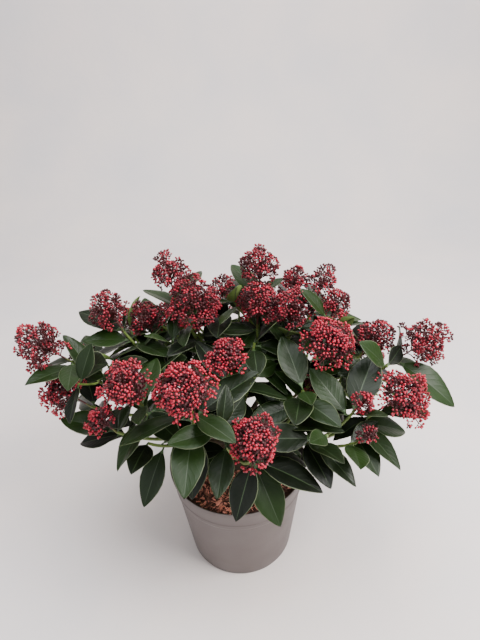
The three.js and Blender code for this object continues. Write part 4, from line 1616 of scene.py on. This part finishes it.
class SkimmiaPotSettings(PropertyGroup):
    height: FloatProperty(
        name="Height", description="Height of the pot", unit="LENGTH", default=POT_HIGH.z - POT_LOW.z,
    )
    rim_radius: FloatProperty(
        name="Rim Radius", description="Outer radius of the rim", unit="LENGTH",
        default=(POT_HIGH.x - POT_LOW.x) / 2,
    )
    base_radius: FloatProperty(
        name="Base Radius", description="Radius of the underside", unit="LENGTH", default=BASE_RADIUS * MM,
    )
    wall: FloatProperty(
        name="Wall", description="Thickness of the wall", unit="LENGTH", default=0.0018,
    )
    colour: FloatVectorProperty(
        name="Colour", description="Colour of the plastic", subtype="COLOR", default=srgb(93, 84, 82),
    )


class SkimmiaSoilSettings(PropertyGroup):
    depth: FloatProperty(
        name="Depth", description="How far the soil lies below the rim", unit="LENGTH",
        default=POT_HIGH.z - SOIL_HIGH.z,
    )
    chip_length: FloatProperty(
        name="Chip Length", description="Length of a bark chip", unit="LENGTH", default=0.0105,
    )
    chip_width: FloatProperty(
        name="Chip Width", description="Width of a bark chip", unit="LENGTH", default=0.0019,
    )
    density: FloatProperty(
        name="Density", description="Chips on a square metre of soil", default=88000.0,
    )
    colour: FloatVectorProperty(
        name="Colour", description="Colour of the bark chips", subtype="COLOR", default=srgb(226, 146, 128),
    )


class SkimmiaWoodSettings(PropertyGroup):
    trunk_radius: FloatProperty(
        name="Trunk Radius", description="Radius of the trunk above its flare", unit="LENGTH",
        default=TRUNK_RADIUS * MM,
    )
    relief: FloatProperty(
        name="Bark Relief", description="Depth of the bark's ridges", unit="LENGTH", default=0.0016,
    )
    bark: FloatVectorProperty(
        name="Bark", description="Colour of the old wood", subtype="COLOR", default=srgb(78, 64, 50),
    )
    twig: FloatVectorProperty(
        name="Twig", description="Colour of last year's twigs", subtype="COLOR", default=srgb(100, 92, 58),
    )
    young: FloatVectorProperty(
        name="Young Twig", description="Colour of the young twigs", subtype="COLOR",
        default=srgb(100, 120, 52),
    )


class SkimmiaLeafSettings(PropertyGroup):
    thickness: FloatProperty(
        name="Thickness", description="Thickness of a blade", unit="LENGTH", default=0.0005,
    )
    petiole: FloatProperty(
        name="Petiole", description="Thickness of a leaf's stalk", unit="LENGTH", default=0.0024,
    )
    dark: FloatVectorProperty(
        name="Dark Green", description="Colour of the darkest blades", subtype="COLOR",
        default=srgb(11, 17, 8),
    )
    bright: FloatVectorProperty(
        name="Bright Green", description="Colour of the brightest blades", subtype="COLOR",
        default=srgb(31, 51, 17),
    )
    rib: FloatVectorProperty(
        name="Midrib", description="Colour of the midrib", subtype="COLOR", default=srgb(39, 56, 28),
    )
    margin: FloatVectorProperty(
        name="Margin", description="Colour of the thin margin", subtype="COLOR", default=srgb(92, 102, 72),
    )
    underside: FloatVectorProperty(
        name="Underside", description="Colour of the underside", subtype="COLOR",
        default=srgb(96, 118, 56),
    )


class SkimmiaPanicleSettings(PropertyGroup):
    bud_length: FloatProperty(
        name="Bud Length", description="Length of a flower bud", unit="LENGTH", default=0.0037,
    )
    bud_width: FloatProperty(
        name="Bud Width", description="Width of a flower bud", unit="LENGTH", default=0.0031,
    )
    spacing: FloatProperty(
        name="Spacing", description="Way between neighbouring clusters of buds", unit="LENGTH",
        default=0.0084,
    )
    red: FloatVectorProperty(
        name="Red", description="Colour of the buds", subtype="COLOR", default=srgb(170, 21, 45),
    )
    maroon: FloatVectorProperty(
        name="Maroon", description="Colour of the darkest buds", subtype="COLOR", default=srgb(66, 12, 20),
    )
    # The tip colour is partly the buds' paler tips and partly a painted highlight on them.
    tip: FloatVectorProperty(
        name="Tip", description="Colour of the buds' pale tips", subtype="COLOR", default=srgb(190, 58, 80),
    )
    stalk: FloatVectorProperty(
        name="Stalk", description="Colour of the stalks", subtype="COLOR", default=srgb(78, 26, 26),
    )


class SkimmiaStageSettings(PropertyGroup):
    cloth: FloatVectorProperty(
        name="Backdrop", description="Colour of the floor and backdrop", subtype="COLOR",
        default=srgb(238, 229, 226),
    )
    key: FloatProperty(
        name="Key Light", description="Power of the light from the right", unit="POWER", default=84.0,
    )
    top: FloatProperty(
        name="Top Light", description="Power of the light from above", unit="POWER", default=54.0,
    )
    sky: FloatProperty(
        name="Sky", description="Strength of the light from all round", default=0.6,
    )


# Operators


def colours_of(settings, *names):
    return [np.array(getattr(settings, name)) for name in names]


def turned_object(name, profile, finishes, first_inside=math.inf):
    """A closed shell turned round +Z from a profile of radius and height in millimetres."""
    points = []
    rings = []
    for radius, height in profile:
        if radius == 0:
            rings.append([len(points)])
            points.append((0, 0, height * MM))
            continue
        rings.append(list(range(len(points), len(points) + ROUND_SIDES)))
        for side in range(ROUND_SIDES):
            points.append(tuple(polar(360 / ROUND_SIDES * side, radius, height) * MM))
    faces = []
    indices = []
    for index, (low, high) in enumerate(zip(rings, rings[1:])):
        for side in range(ROUND_SIDES):
            after = (side + 1) % ROUND_SIDES
            if len(low) == 1:
                faces.append((low[0], high[after], high[side]))
            elif len(high) == 1:
                faces.append((low[side], low[after], high[0]))
            else:
                faces.append((low[side], low[after], high[after], high[side]))
            indices.append(1 if index >= first_inside else 0)
    return show(mesh_from(name, points, faces, finishes, indices))


def pot_profile(settings):
    """The outside and the inside of the pot, as rows of radius and height in millimetres."""
    height = settings.height / MM
    rim = settings.rim_radius / MM
    base = settings.base_radius / MM
    wall = settings.wall / MM
    collar = height - COLLAR_DEPTH
    step = collar - STEP_RISE
    waist = height - WAIST_DEPTH
    lip = height - LIP_DEPTH
    outside = [
        (0, 0), (FLOOR_RING, 0), (base - BASE_BEVEL, 0), (base - FOOT_INSET, FOOT_LIFT),
        (base, BASE_BEVEL),
    ]
    outside += [
        (between(base, STEP_RADIUS, share), between(BASE_BEVEL, step, share)) for share in WALL_SHARES
    ]
    outside += [(STEP_RADIUS + out, step + up) for out, up in STEP_ROUND]
    outside.append((COLLAR_RADIUS, collar))
    outside += [(COLLAR_RADIUS + out, waist - down) for out, down in GROOVE]
    outside += [(WAIST_RADIUS, waist), (LIP_RADIUS, lip)]
    outside += [(rim - inset, height - down) for inset, down in RIM_ROUND]
    inside = [(rim - wall + inset, height - down) for inset, down in reversed(RIM_ROUND)]
    inside += [
        (LIP_RADIUS - wall, lip), (WAIST_RADIUS - wall, waist),
        (COLLAR_RADIUS - wall - COLLAR_SWELL, collar), (STEP_RADIUS - wall, step),
        (base - wall, POT_FLOOR + INSIDE_RISE), (base - wall - INSIDE_BEVEL, POT_FLOOR),
        (FLOOR_RING, POT_FLOOR), (0, POT_FLOOR),
    ]
    return outside, inside


def drill_drains(pot):
    """The pot with its drain holes cut through the floor."""
    drains = bmesh.new()
    for index in range(DRAIN_HOLES):
        place = polar(360 / DRAIN_HOLES * index, DRAIN_CIRCLE, POT_FLOOR / 2) * MM
        bmesh.ops.create_cone(
            drains, cap_ends=True, segments=DRAIN_SIDES, radius1=DRAIN_RADIUS * MM,
            radius2=DRAIN_RADIUS * MM, depth=POT_FLOOR * 3 * MM, matrix=Matrix.Translation(place),
        )
    mesh = bpy.data.meshes.new("drains")
    drains.to_mesh(mesh)
    drains.free()
    cutter = show(bpy.data.objects.new("drains", mesh))
    holes = pot.modifiers.new("Holes", "BOOLEAN")
    holes.operation = "DIFFERENCE"
    holes.solver = "EXACT"
    holes.object = cutter
    pot = evaluated_copy(pot, "pot_shell")
    bpy.data.objects.remove(cutter)
    return pot


class SkimmiaMakePot(Operator):
    """Turn the pot with its rim, its collar and its drain holes"""

    bl_idname = "skimmia.make_pot"
    bl_label = "Pot"

    def execute(self, context):
        settings = context.scene.skimmia_pot
        colour = np.array(settings.colour)
        finishes = [
            plain_finish(
                "pot_plastic", colour * 0.93, colour, scale=22, rough=(0.42, 0.58), relief=0.00006,
                relief_scale=900, detail=5, contrast=2.2,
            ),
            # The inside takes the pot's colour at a sixth to a third: painted shade of the deep pot, with
            # some dirt from the soil.
            plain_finish(
                "pot_inside_shade_and_dirt", colour * 0.16, colour * 0.3, scale=60, rough=(0.6, 0.8), relief=0.0001,
            ),
        ]
        outside, inside = pot_profile(settings)
        pot = drill_drains(turned_object("pot_shell", outside + inside, finishes, len(outside)))
        pot.data.set_sharp_from_angle(angle=math.radians(SHARP_ANGLE))
        finish_piece(pot, ["pot"])
        return {"FINISHED"}


def chip_template(index, settings):
    """One shred of bark: a bent, twisted bar with four sides and narrow ends."""
    chance = np.random.default_rng(SEED * CHIP_SEED_STEP + index)
    length = settings.chip_length * CHIP_LENGTHS[index]
    width = settings.chip_width * CHIP_WIDTHS[index]
    wide, thin = CHIP_GIRTH
    points = []
    bend = (chance.random() - CHIP_BEND_FROM) * CHIP_BEND
    for step in range(CHIP_STEPS + 1):
        share = step / CHIP_STEPS - 0.5
        girth = (1 - abs(share) * CHIP_TAPER) ** 0.5 * varied(CHIP_GIRTHS, chance.random())
        for side in range(CHIP_CORNERS):
            angle = math.pi / 2 * side + math.pi / 4 + share * CHIP_TWIST
            points.append((
                length * share,
                math.cos(angle) * width * wide * girth + bend * length * share * share,
                math.sin(angle) * width * thin * girth,
            ))
    last = CHIP_STEPS * CHIP_CORNERS
    faces = [(0, 1, 2, 3), (last + 3, last + 2, last + 1, last)]
    for low in range(0, last, CHIP_CORNERS):
        high = low + CHIP_CORNERS
        for side in range(CHIP_CORNERS):
            after = (side + 1) % CHIP_CORNERS
            faces.append((low + side, high + side, high + after, low + after))
    return mesh_from(f"chip_{index}", points, faces, [], smooth=False)


def chip_nodes(holder, materials):
    """Bark chips scattered over the soil, lying at all angles, in several colours."""
    tree, given, result = new_tree("Bark Chips", "GeometryNodeTree", {
        "Ground": ("Geometry", None), "Density": ("Float", 50000.0), "Seed": ("Int", 1),
        "Lowest": ("Float", 0.0), "Reach": ("Float", 0.1),
    }, {"Chips": "Geometry"})
    place = add_node(tree, "GeometryNodeInputPosition").outputs[0]
    parts = add_node(tree, "ShaderNodeSeparateXYZ", {0: place}).outputs
    level = add_node(tree, "ShaderNodeCombineXYZ", {"X": parts["X"], "Y": parts["Y"]}).outputs[0]
    flat = add_node(tree, "ShaderNodeVectorMath", {0: level}, operation="LENGTH").outputs["Value"]
    high = maths(tree, "GREATER_THAN", parts["Z"], given["Lowest"])
    near = maths(tree, "LESS_THAN", flat, given["Reach"])
    spread = add_node(tree, "GeometryNodeDistributePointsOnFaces", {
        "Mesh": given["Ground"], "Selection": maths(tree, "MULTIPLY", high, near),
        "Density": given["Density"], "Seed": given["Seed"],
    })
    chips = add_node(tree, "GeometryNodeCollectionInfo", {"Collection": holder, "Separate Children": True})
    angles = add_node(tree, "FunctionNodeRandomValue", {
        0: (-CHIP_TILT, -CHIP_TILT, 0), 1: (CHIP_TILT, CHIP_TILT, WHOLE_TURN), "Seed": given["Seed"],
    }, data_type="FLOAT_VECTOR")
    sizes, tints = (
        add_node(tree, "FunctionNodeRandomValue", {
            2: least, 3: most, "Seed": maths(tree, "ADD", given["Seed"], extra),
        }).outputs[1]
        for least, most, extra in ((*CHIP_SIZES, CHIP_SIZE_SEED), (0, CHIP_TINTS, CHIP_TINT_SEED))
    )
    put = add_node(tree, "GeometryNodeInstanceOnPoints", {
        "Points": spread.outputs["Points"], "Instance": chips.outputs["Instances"],
        "Pick Instance": True, "Rotation": angles.outputs[0], "Scale": sizes,
    })
    mark = add_node(tree, "GeometryNodeStoreNamedAttribute", {
        "Geometry": put.outputs["Instances"], "Name": "tint", "Value": tints,
    }, domain="INSTANCE")
    real = add_node(tree, "GeometryNodeRealizeInstances", {"Geometry": mark.outputs["Geometry"]})
    tree.links.new(paint_kinds(tree, real.outputs["Geometry"], "tint", materials), result["Chips"])
    return tree


def soil_object(top, inset, ground):
    """The soil inside the pot's wall, domed and with small mounds on top."""
    reach = WAIST_RADIUS - inset
    profile = [
        (0, POT_FLOOR + GAP), (BASE_RADIUS - inset, POT_FLOOR + GAP),
        (STEP_RADIUS - inset, top - SOIL_COLLAR - STEP_RISE), (reach - SOIL_INSET, top - SOIL_WAIST),
        (reach, top - SOIL_FALL),
    ]
    shares = np.linspace(*SOIL_SHARES, SOIL_RINGS)
    profile += [(reach * share, top - SOIL_FALL * share) for share in shares]
    soil = turned_object("soil_body", profile + [(0, top)], [ground])
    deepest, highest = MOUND_LIMITS
    for vertex in soil.data.vertices:
        flat = math.hypot(vertex.co.x, vertex.co.y) / MM
        if vertex.co.z / MM > top - SOIL_FALL - 1 and flat < reach - 1:
            mound = noise.fractal(vertex.co * MOUND_SCALE, 1, 2, 3) * MOUND_HEIGHT * MM
            vertex.co.z += clamp(mound, deepest * MM, highest * MM) - MOUND_FALL * MM
    return soil


class SkimmiaMakeSoil(Operator):
    """Fill the pot with soil and scatter bark chips on it"""

    bl_idname = "skimmia.make_soil"
    bl_label = "Soil and Bark Chips"

    def execute(self, context):
        settings = context.scene.skimmia_soil
        pot = context.scene.skimmia_pot
        top = (pot.height - settings.depth) / MM
        inset = pot.wall / MM + SOIL_SLACK
        colour = np.array(settings.colour)
        chips = [
            plain_finish(
                f"bark_chip_{name}", colour * dark, colour * light, scale=260, rough=(0.75, 0.95),
                relief=0.0003, relief_scale=900, stretch=(1, 1, 1),
            )
            for name, dark, light in (
                ("red", 0.75, 1.15), ("brown", 0.22, 0.5), ("pale", 1.2, 1.45), ("black", 0.1, 0.2),
            )
        ]
        # The ground under the chips takes the chips' colour at a thirtieth to an eighth: painted shade in
        # the gaps between the chips.
        ground = plain_finish(
            "soil_ground_shaded", colour * 0.03, colour * 0.13, scale=300, rough=(0.85, 1), relief=0.0008,
            relief_scale=700,
        )
        soil = soil_object(top, inset, ground)
        ground_copy = show(bpy.data.objects.new("chip_ground", soil.data.copy()))
        shapes = [chip_template(index, settings) for index in range(len(CHIP_LENGTHS))]
        holder = bpy.data.collections.new("chip_shapes")
        for shape in shapes:
            holder.objects.link(shape)
        scattered = run_nodes(ground_copy, chip_nodes(holder, chips), {
            "Density": settings.density, "Seed": SEED, "Lowest": (top - SOIL_FALL - CHIP_DROP) * MM,
            "Reach": (WAIST_RADIUS - inset - CHIP_EDGE) * MM,
        }, "soil_chips")
        for shape in shapes:
            bpy.data.objects.remove(shape)
        bpy.data.collections.remove(holder)
        finish_piece(soil, ["soil"])
        finish_piece(scattered, ["soil"])
        return {"FINISHED"}


# Trunk, boughs and twigs: their steps, and how far the relief's middle lies inside the solid

OLD_KIND, YOUNG_KIND = range(2)
TRUNK_STEPS = 30
TRUNK_INSET = 0.7
BOUGH_STEPS = 22
BOUGH_INSET = 0.1
TWIG_LINE_STEPS = 9
STUB_ROOT = 1.5
STUB_TAPER = 0.9
YOUNG_LENGTH = 62
YOUNG_FROM = 0.3
SIDE_YOUNG_FROM = 0.2
SIDE_LINE_STEPS = 6


def limb_rows(curve, steps, radius_at, young_from=math.inf):
    """A limb's line, with its radius at each share of its length, green from one share on."""
    shares = [step / steps for step in range(steps + 1)]
    return [
        (on_curve(curve, share), radius_at(share), YOUNG_KIND if share >= young_from else OLD_KIND)
        for share in shares
    ]


class SkimmiaMakeWood(Operator):
    """Grow the trunk and the boughs with a relief of bark"""

    bl_idname = "skimmia.make_wood"
    bl_label = "Trunk and Boughs"

    def execute(self, context):
        settings = context.scene.skimmia_wood
        bark = np.array(settings.bark)
        finish = plain_finish(
            "limb_bark", bark * 0.5, bark * 1.15, scale=120, rough=(0.75, 0.95), relief=0.0006,
            relief_scale=420, detail=6, contrast=2.4, stretch=(1, 1, 0.4),
        )
        tree = tube_nodes("Barked Limbs", [finish])

        def trunk_radius(share):
            height = share * (TRUNK_TOP - SOIL_TOP)
            flare = FLARE_RADIUS * max(0, 1 - height / FLARE_HEIGHT) ** 2
            return between(settings.trunk_radius / MM, TRUNK_TIP_RADIUS, share) + flare - TRUNK_INSET

        def bough_radius(share):
            return between(BOUGH_RADIUS, BOUGH_TIP_RADIUS, share) - BOUGH_INSET

        trunk = limb_rows(TRUNK_CURVE, TRUNK_STEPS, trunk_radius)
        values = {"Relief": settings.relief, "Relief Scale": 190.0, "Sides": 20}
        stem = run_nodes(line_object("trunk_line", [trunk]), tree, values, "trunk_wood")
        masses = [mass for mass in grow_plant().masses if not mass.on_top]
        boughs = [limb_rows(mass.bough, BOUGH_STEPS, bough_radius) for mass in masses]
        values.update({"Relief": settings.relief * 0.5, "Sides": 10})
        limbs = run_nodes(line_object("bough_lines", boughs), tree, values, "bough_wood")
        finish_piece(stem, ["trunk"])
        finish_piece(limbs, [f"bough_{mass.name}" for mass in masses])
        return {"FINISHED"}


class SkimmiaMakeTwigs(Operator):
    """Grow the twigs and side twigs of every mass"""

    bl_idname = "skimmia.make_twigs"
    bl_label = "Twigs"

    def execute(self, context):
        twig, young = colours_of(context.scene.skimmia_wood, "twig", "young")
        finishes = [
            plain_finish(
                "twig_wood", twig * 0.62, twig * 1.1, scale=170, rough=(0.6, 0.8), relief=0.0003,
            ),
            plain_finish(
                "twig_young", young * 0.8, young * 1.12, scale=110, rough=(0.42, 0.6), relief=0.0001,
            ),
        ]
        twig_radius = functools.partial(between, TWIG_RADIUS, TWIG_TIP_RADIUS)
        side_radius = functools.partial(between, SIDE_TWIG_RADIUS, SIDE_TWIG_TIP)
        plant = grow_plant()
        lines = []
        for mass in plant.masses:
            lines.append([
                (mass.root - mass.along * STUB_ROOT, BOUGH_TIP_RADIUS, OLD_KIND),
                (mass.root + mass.along * STUB_LENGTH, BOUGH_TIP_RADIUS * STUB_TAPER, OLD_KIND),
            ])
            for shoot in mass.shoots:
                length = distance(shoot.twig[0], shoot.twig[2])
                young_from = max(YOUNG_FROM, 1 - YOUNG_LENGTH / length)
                lines.append(limb_rows(shoot.twig, TWIG_LINE_STEPS, twig_radius, young_from))
        for side in plant.side_twigs:
            lines.append(limb_rows(side.twig, SIDE_LINE_STEPS, side_radius, SIDE_YOUNG_FROM))
        twigs = run_nodes(
            line_object("twig_lines", lines), tube_nodes("Twigs", finishes),
            {"Sides": 8, "Relief": 0.0004, "Relief Scale": 300.0}, "twigs",
        )
        finish_piece(twigs, foliage_nodes(plant.masses))
        return {"FINISHED"}


def foliage_nodes(masses):
    return [f"foliage_{mass.name}" for mass in masses]


def region_masses(region):
    return [mass for mass in grow_plant().masses if mass.name in REGIONS[region]]


class SkimmiaMakeLeaves(Operator):
    """Grow the leaves, in their own outline with midrib, margin and underside"""

    bl_idname = "skimmia.make_leaves"
    bl_label = "Leaves"

    def execute(self, context):
        settings = context.scene.skimmia_leaves
        dark, bright, rib = colours_of(settings, "dark", "bright", "rib")
        margin, underside = colours_of(settings, "margin", "underside")
        firm_finish = functools.partial(plain_finish, scale=90, rough=(0.4, 0.55), relief=0.0001)
        finishes = [
            firm_finish("leaf_margin", margin * 0.85, margin),
            firm_finish("leaf_rib", rib * 0.85, rib * 1.1),
            plain_finish(
                "leaf_underside", underside * 0.85, underside * 1.1, scale=70, rough=(0.55, 0.7),
                relief=0.0002, veins=True,
            ),
            firm_finish("leaf_petiole", rib * 1.7, rib * 2.3),
        ]
        for tint in range(BLADE_TINTS):
            colour = between(dark, bright, tint / (BLADE_TINTS - 1))
            finishes.append(plain_finish(
                f"leaf_blade_{tint + 1}", colour * 0.84, colour * 1.16, scale=55, rough=(0.3, 0.46),
                relief=0.00012, relief_scale=300, veins=True, detail=4, specular=0.24,
            ))
        for region in REGIONS:
            masses = region_masses(region)
            chosen = [mass.mass for mass in masses]
            leaves = [leaf for leaf in grow_plant().leaves if leaf.mass in chosen]
            piece = show(make_leaves(f"leaves_{region}", leaves, settings, finishes))
            finish_piece(piece, foliage_nodes(masses))
        return {"FINISHED"}


class SkimmiaMakePanicles(Operator):
    """Grow the panicles of stalks and flower buds"""

    bl_idname = "skimmia.make_panicles"
    bl_label = "Panicles"

    def execute(self, context):
        settings = context.scene.skimmia_panicles
        young = np.array(context.scene.skimmia_wood.young)
        red, maroon, tip, stalk = colours_of(settings, "red", "maroon", "tip", "stalk")
        bud_finish = functools.partial(plain_finish, scale=240, rough=(0.34, 0.5), relief=0.0001)
        dull_finish = functools.partial(bud_finish, rough=(0.5, 0.6))
        calyx = dull_finish("bud_calyx", stalk * 0.5, stalk * 0.9)
        paints = []
        # Each tint's tip colour paints the buds' paler tips together with a painted highlight.
        for tint, name in enumerate(("red", "deep", "maroon")):
            colour, end = (between(first, maroon, tint / 2) for first in (red, tip))
            finish = bud_finish(f"bud_{name}", colour * 0.8, colour * 1.2)
            pale = bud_finish(f"bud_tip_{name}", end * 0.8, end * 1.15)
            paints += [(finish, tint, None), (calyx, tint, CALYX), (pale, tint, TIP_ZONE)]
        stalks = dull_finish("panicle_stalk", stalk * 0.8, stalk * 1.2)
        peduncle = dull_finish(
            "panicle_peduncle", between(young, stalk, 0.3) * 0.8, between(young, stalk, 0.45),
            scale=200,
        )
        buds_tree = bud_nodes(paints)
        stalk_tree = tube_nodes("Panicle Stalks", [peduncle, stalks])
        template = bud_template(settings)
        for region in REGIONS:
            lines = []
            buds = []
            masses = region_masses(region)
            for shoot in panicles_of(masses):
                more_lines, more_buds = make_panicle(shoot, settings)
                lines += more_lines
                buds += more_buds
            points = bud_points("bud_points", buds)
            heads = run_nodes(points, buds_tree, {"Bud": template, "Size": 1.0}, f"buds_{region}")
            finish_piece(heads, foliage_nodes(masses))
            sprays = line_object("stalk_lines", lines)
            sprays = run_nodes(sprays, stalk_tree, {"Sides": 3}, f"stalks_{region}")
            finish_piece(sprays, foliage_nodes(masses))
        bpy.data.objects.remove(template)
        return {"FINISHED"}


# Stage, in metres: a floor that curves up to a wall, three lamps and a pale sky

FLOOR_HALF = 3.0
FLOOR_DEPTHS = (-3.0, -1.0, 0.4, 1.15)
CURVE_RADIUS = 0.75
CURVE_STEPS = 12
WALL_DEPTH = 1.9
WALL_HEIGHTS = (2.0, 3.2)
LAMPS = (
    ("key", (1.4, -0.5, 1.7), 1.3, (1.0, 0.975, 0.95)),
    ("top", (-0.1, 0.2, 2.3), 1.6, (0.97, 0.985, 1.0)),
    ("front", (-1.3, -1.9, 1.3), 1.6, (0.97, 0.985, 1.0)),
)
FRONT_SHARE = 0.12
LAMP_TARGET = (0, 0, 0.25)
SKY_COLOUR = (0.965, 0.975, 0.99, 1)


def backdrop_object(finish):
    profile = [(depth, 0.0) for depth in FLOOR_DEPTHS]
    for step in range(1, CURVE_STEPS + 1):
        angle = math.pi / 2 * step / CURVE_STEPS
        depth = FLOOR_DEPTHS[-1] + CURVE_RADIUS * math.sin(angle)
        profile.append((depth, CURVE_RADIUS * (1 - math.cos(angle))))
    profile += [(WALL_DEPTH, height) for height in WALL_HEIGHTS]
    points = [(across, *row) for across in (-FLOOR_HALF, FLOOR_HALF) for row in profile]
    count = len(profile)
    faces = [(index, count + index, count + index + 1, index + 1) for index in range(count - 1)]
    return show(mesh_from("backdrop", points, faces, [finish]))


class SkimmiaMakeStage(Operator):
    """Set up the floor with its backdrop, the lights and the camera"""

    bl_idname = "skimmia.make_stage"
    bl_label = "Stage"

    def execute(self, context):
        settings = context.scene.skimmia_stage
        cloth = np.array(settings.cloth)
        finish = plain_finish(
            "backdrop", cloth * (0.8, 0.84, 0.9), cloth * (1.03, 0.99, 0.96), scale=2.6,
            rough=(0.9, 1), relief=0.0009, relief_scale=24, detail=4,
        )
        floor = backdrop_object(finish)
        powers = (settings.key, settings.top, settings.key * FRONT_SHARE)
        for power, (name, place, size, colour) in zip(powers, LAMPS):
            data = bpy.data.lights.new(name, "AREA")
            data.energy = power
            data.size = size
            data.color = colour
            lamp = show(bpy.data.objects.new(name, data))
            turn = (Vector(LAMP_TARGET) - Vector(place)).to_track_quat("-Z", "Y")
            lamp.matrix_world = Matrix.Translation(place) @ turn.to_matrix().to_4x4()
        world = bpy.data.worlds.new("sky")
        world.use_nodes = True
        background = world.node_tree.nodes["Background"]
        background.inputs["Color"].default_value = SKY_COLOUR
        background.inputs["Strength"].default_value = settings.sky
        context.scene.world = world
        make_camera(context.scene)
        return {"FINISHED"}


def make_camera(scene):
    """The camera at the photograph's place, with its pitch and roll."""
    pitch = math.radians(CAMERA_PITCH)
    roll = math.radians(CAMERA_ROLL)
    forward = Vector((0, math.cos(pitch), -math.sin(pitch)))
    right = Vector((1, 0, 0))
    above = right.cross(forward)
    side = right * math.cos(roll) + above * math.sin(roll)
    upright = above * math.cos(roll) - right * math.sin(roll)
    data = bpy.data.cameras.new("camera")
    data.lens = CAMERA_LENS
    data.sensor_width = CAMERA_SENSOR
    data.clip_start = CAMERA_CLIP
    camera = show(bpy.data.objects.new("camera", data))
    turn = Matrix((side, upright, -forward)).transposed().to_4x4()
    camera.matrix_world = Matrix.Translation(Vector(CAMERA_PLACE) * MM) @ turn
    scene.camera = camera


class SkimmiaPanel(Panel):
    """The pieces of the potted skimmia"""

    bl_idname = "VIEW3D_PT_skimmia"
    bl_label = "Potted Skimmia"
    bl_space_type = "VIEW_3D"
    bl_region_type = "UI"
    bl_category = "Skimmia"

    def draw(self, context):
        for operator, group in STEPS:
            box = self.layout.box()
            box.operator(operator.bl_idname)
            settings = getattr(context.scene, group)
            for name in settings.bl_rna.properties.keys():
                if name not in ("rna_type", "name"):
                    box.prop(settings, name)


STEPS = (
    (SkimmiaMakePot, "skimmia_pot"),
    (SkimmiaMakeSoil, "skimmia_soil"),
    (SkimmiaMakeWood, "skimmia_wood"),
    (SkimmiaMakeTwigs, "skimmia_wood"),
    (SkimmiaMakeLeaves, "skimmia_leaves"),
    (SkimmiaMakePanicles, "skimmia_panicles"),
    (SkimmiaMakeStage, "skimmia_stage"),
)
SETTINGS = {
    "skimmia_pot": SkimmiaPotSettings,
    "skimmia_soil": SkimmiaSoilSettings,
    "skimmia_wood": SkimmiaWoodSettings,
    "skimmia_leaves": SkimmiaLeafSettings,
    "skimmia_panicles": SkimmiaPanicleSettings,
    "skimmia_stage": SkimmiaStageSettings,
}
CLASSES = (*SETTINGS.values(), *(step[0] for step in STEPS), SkimmiaPanel)


def register():
    for each in CLASSES:
        bpy.utils.register_class(each)
    for name, group in SETTINGS.items():
        setattr(bpy.types.Scene, name, PointerProperty(type=group))


def unregister():
    for name in SETTINGS:
        delattr(bpy.types.Scene, name)
    for each in reversed(CLASSES):
        bpy.utils.unregister_class(each)


def main():
    register()
    bpy.ops.skimmia.make_pot()
    bpy.ops.skimmia.make_soil()
    bpy.ops.skimmia.make_wood()
    bpy.ops.skimmia.make_twigs()
    bpy.ops.skimmia.make_leaves()
    bpy.ops.skimmia.make_panicles()
    bpy.ops.skimmia.make_stage()


if __name__ == "__main__":
    main()
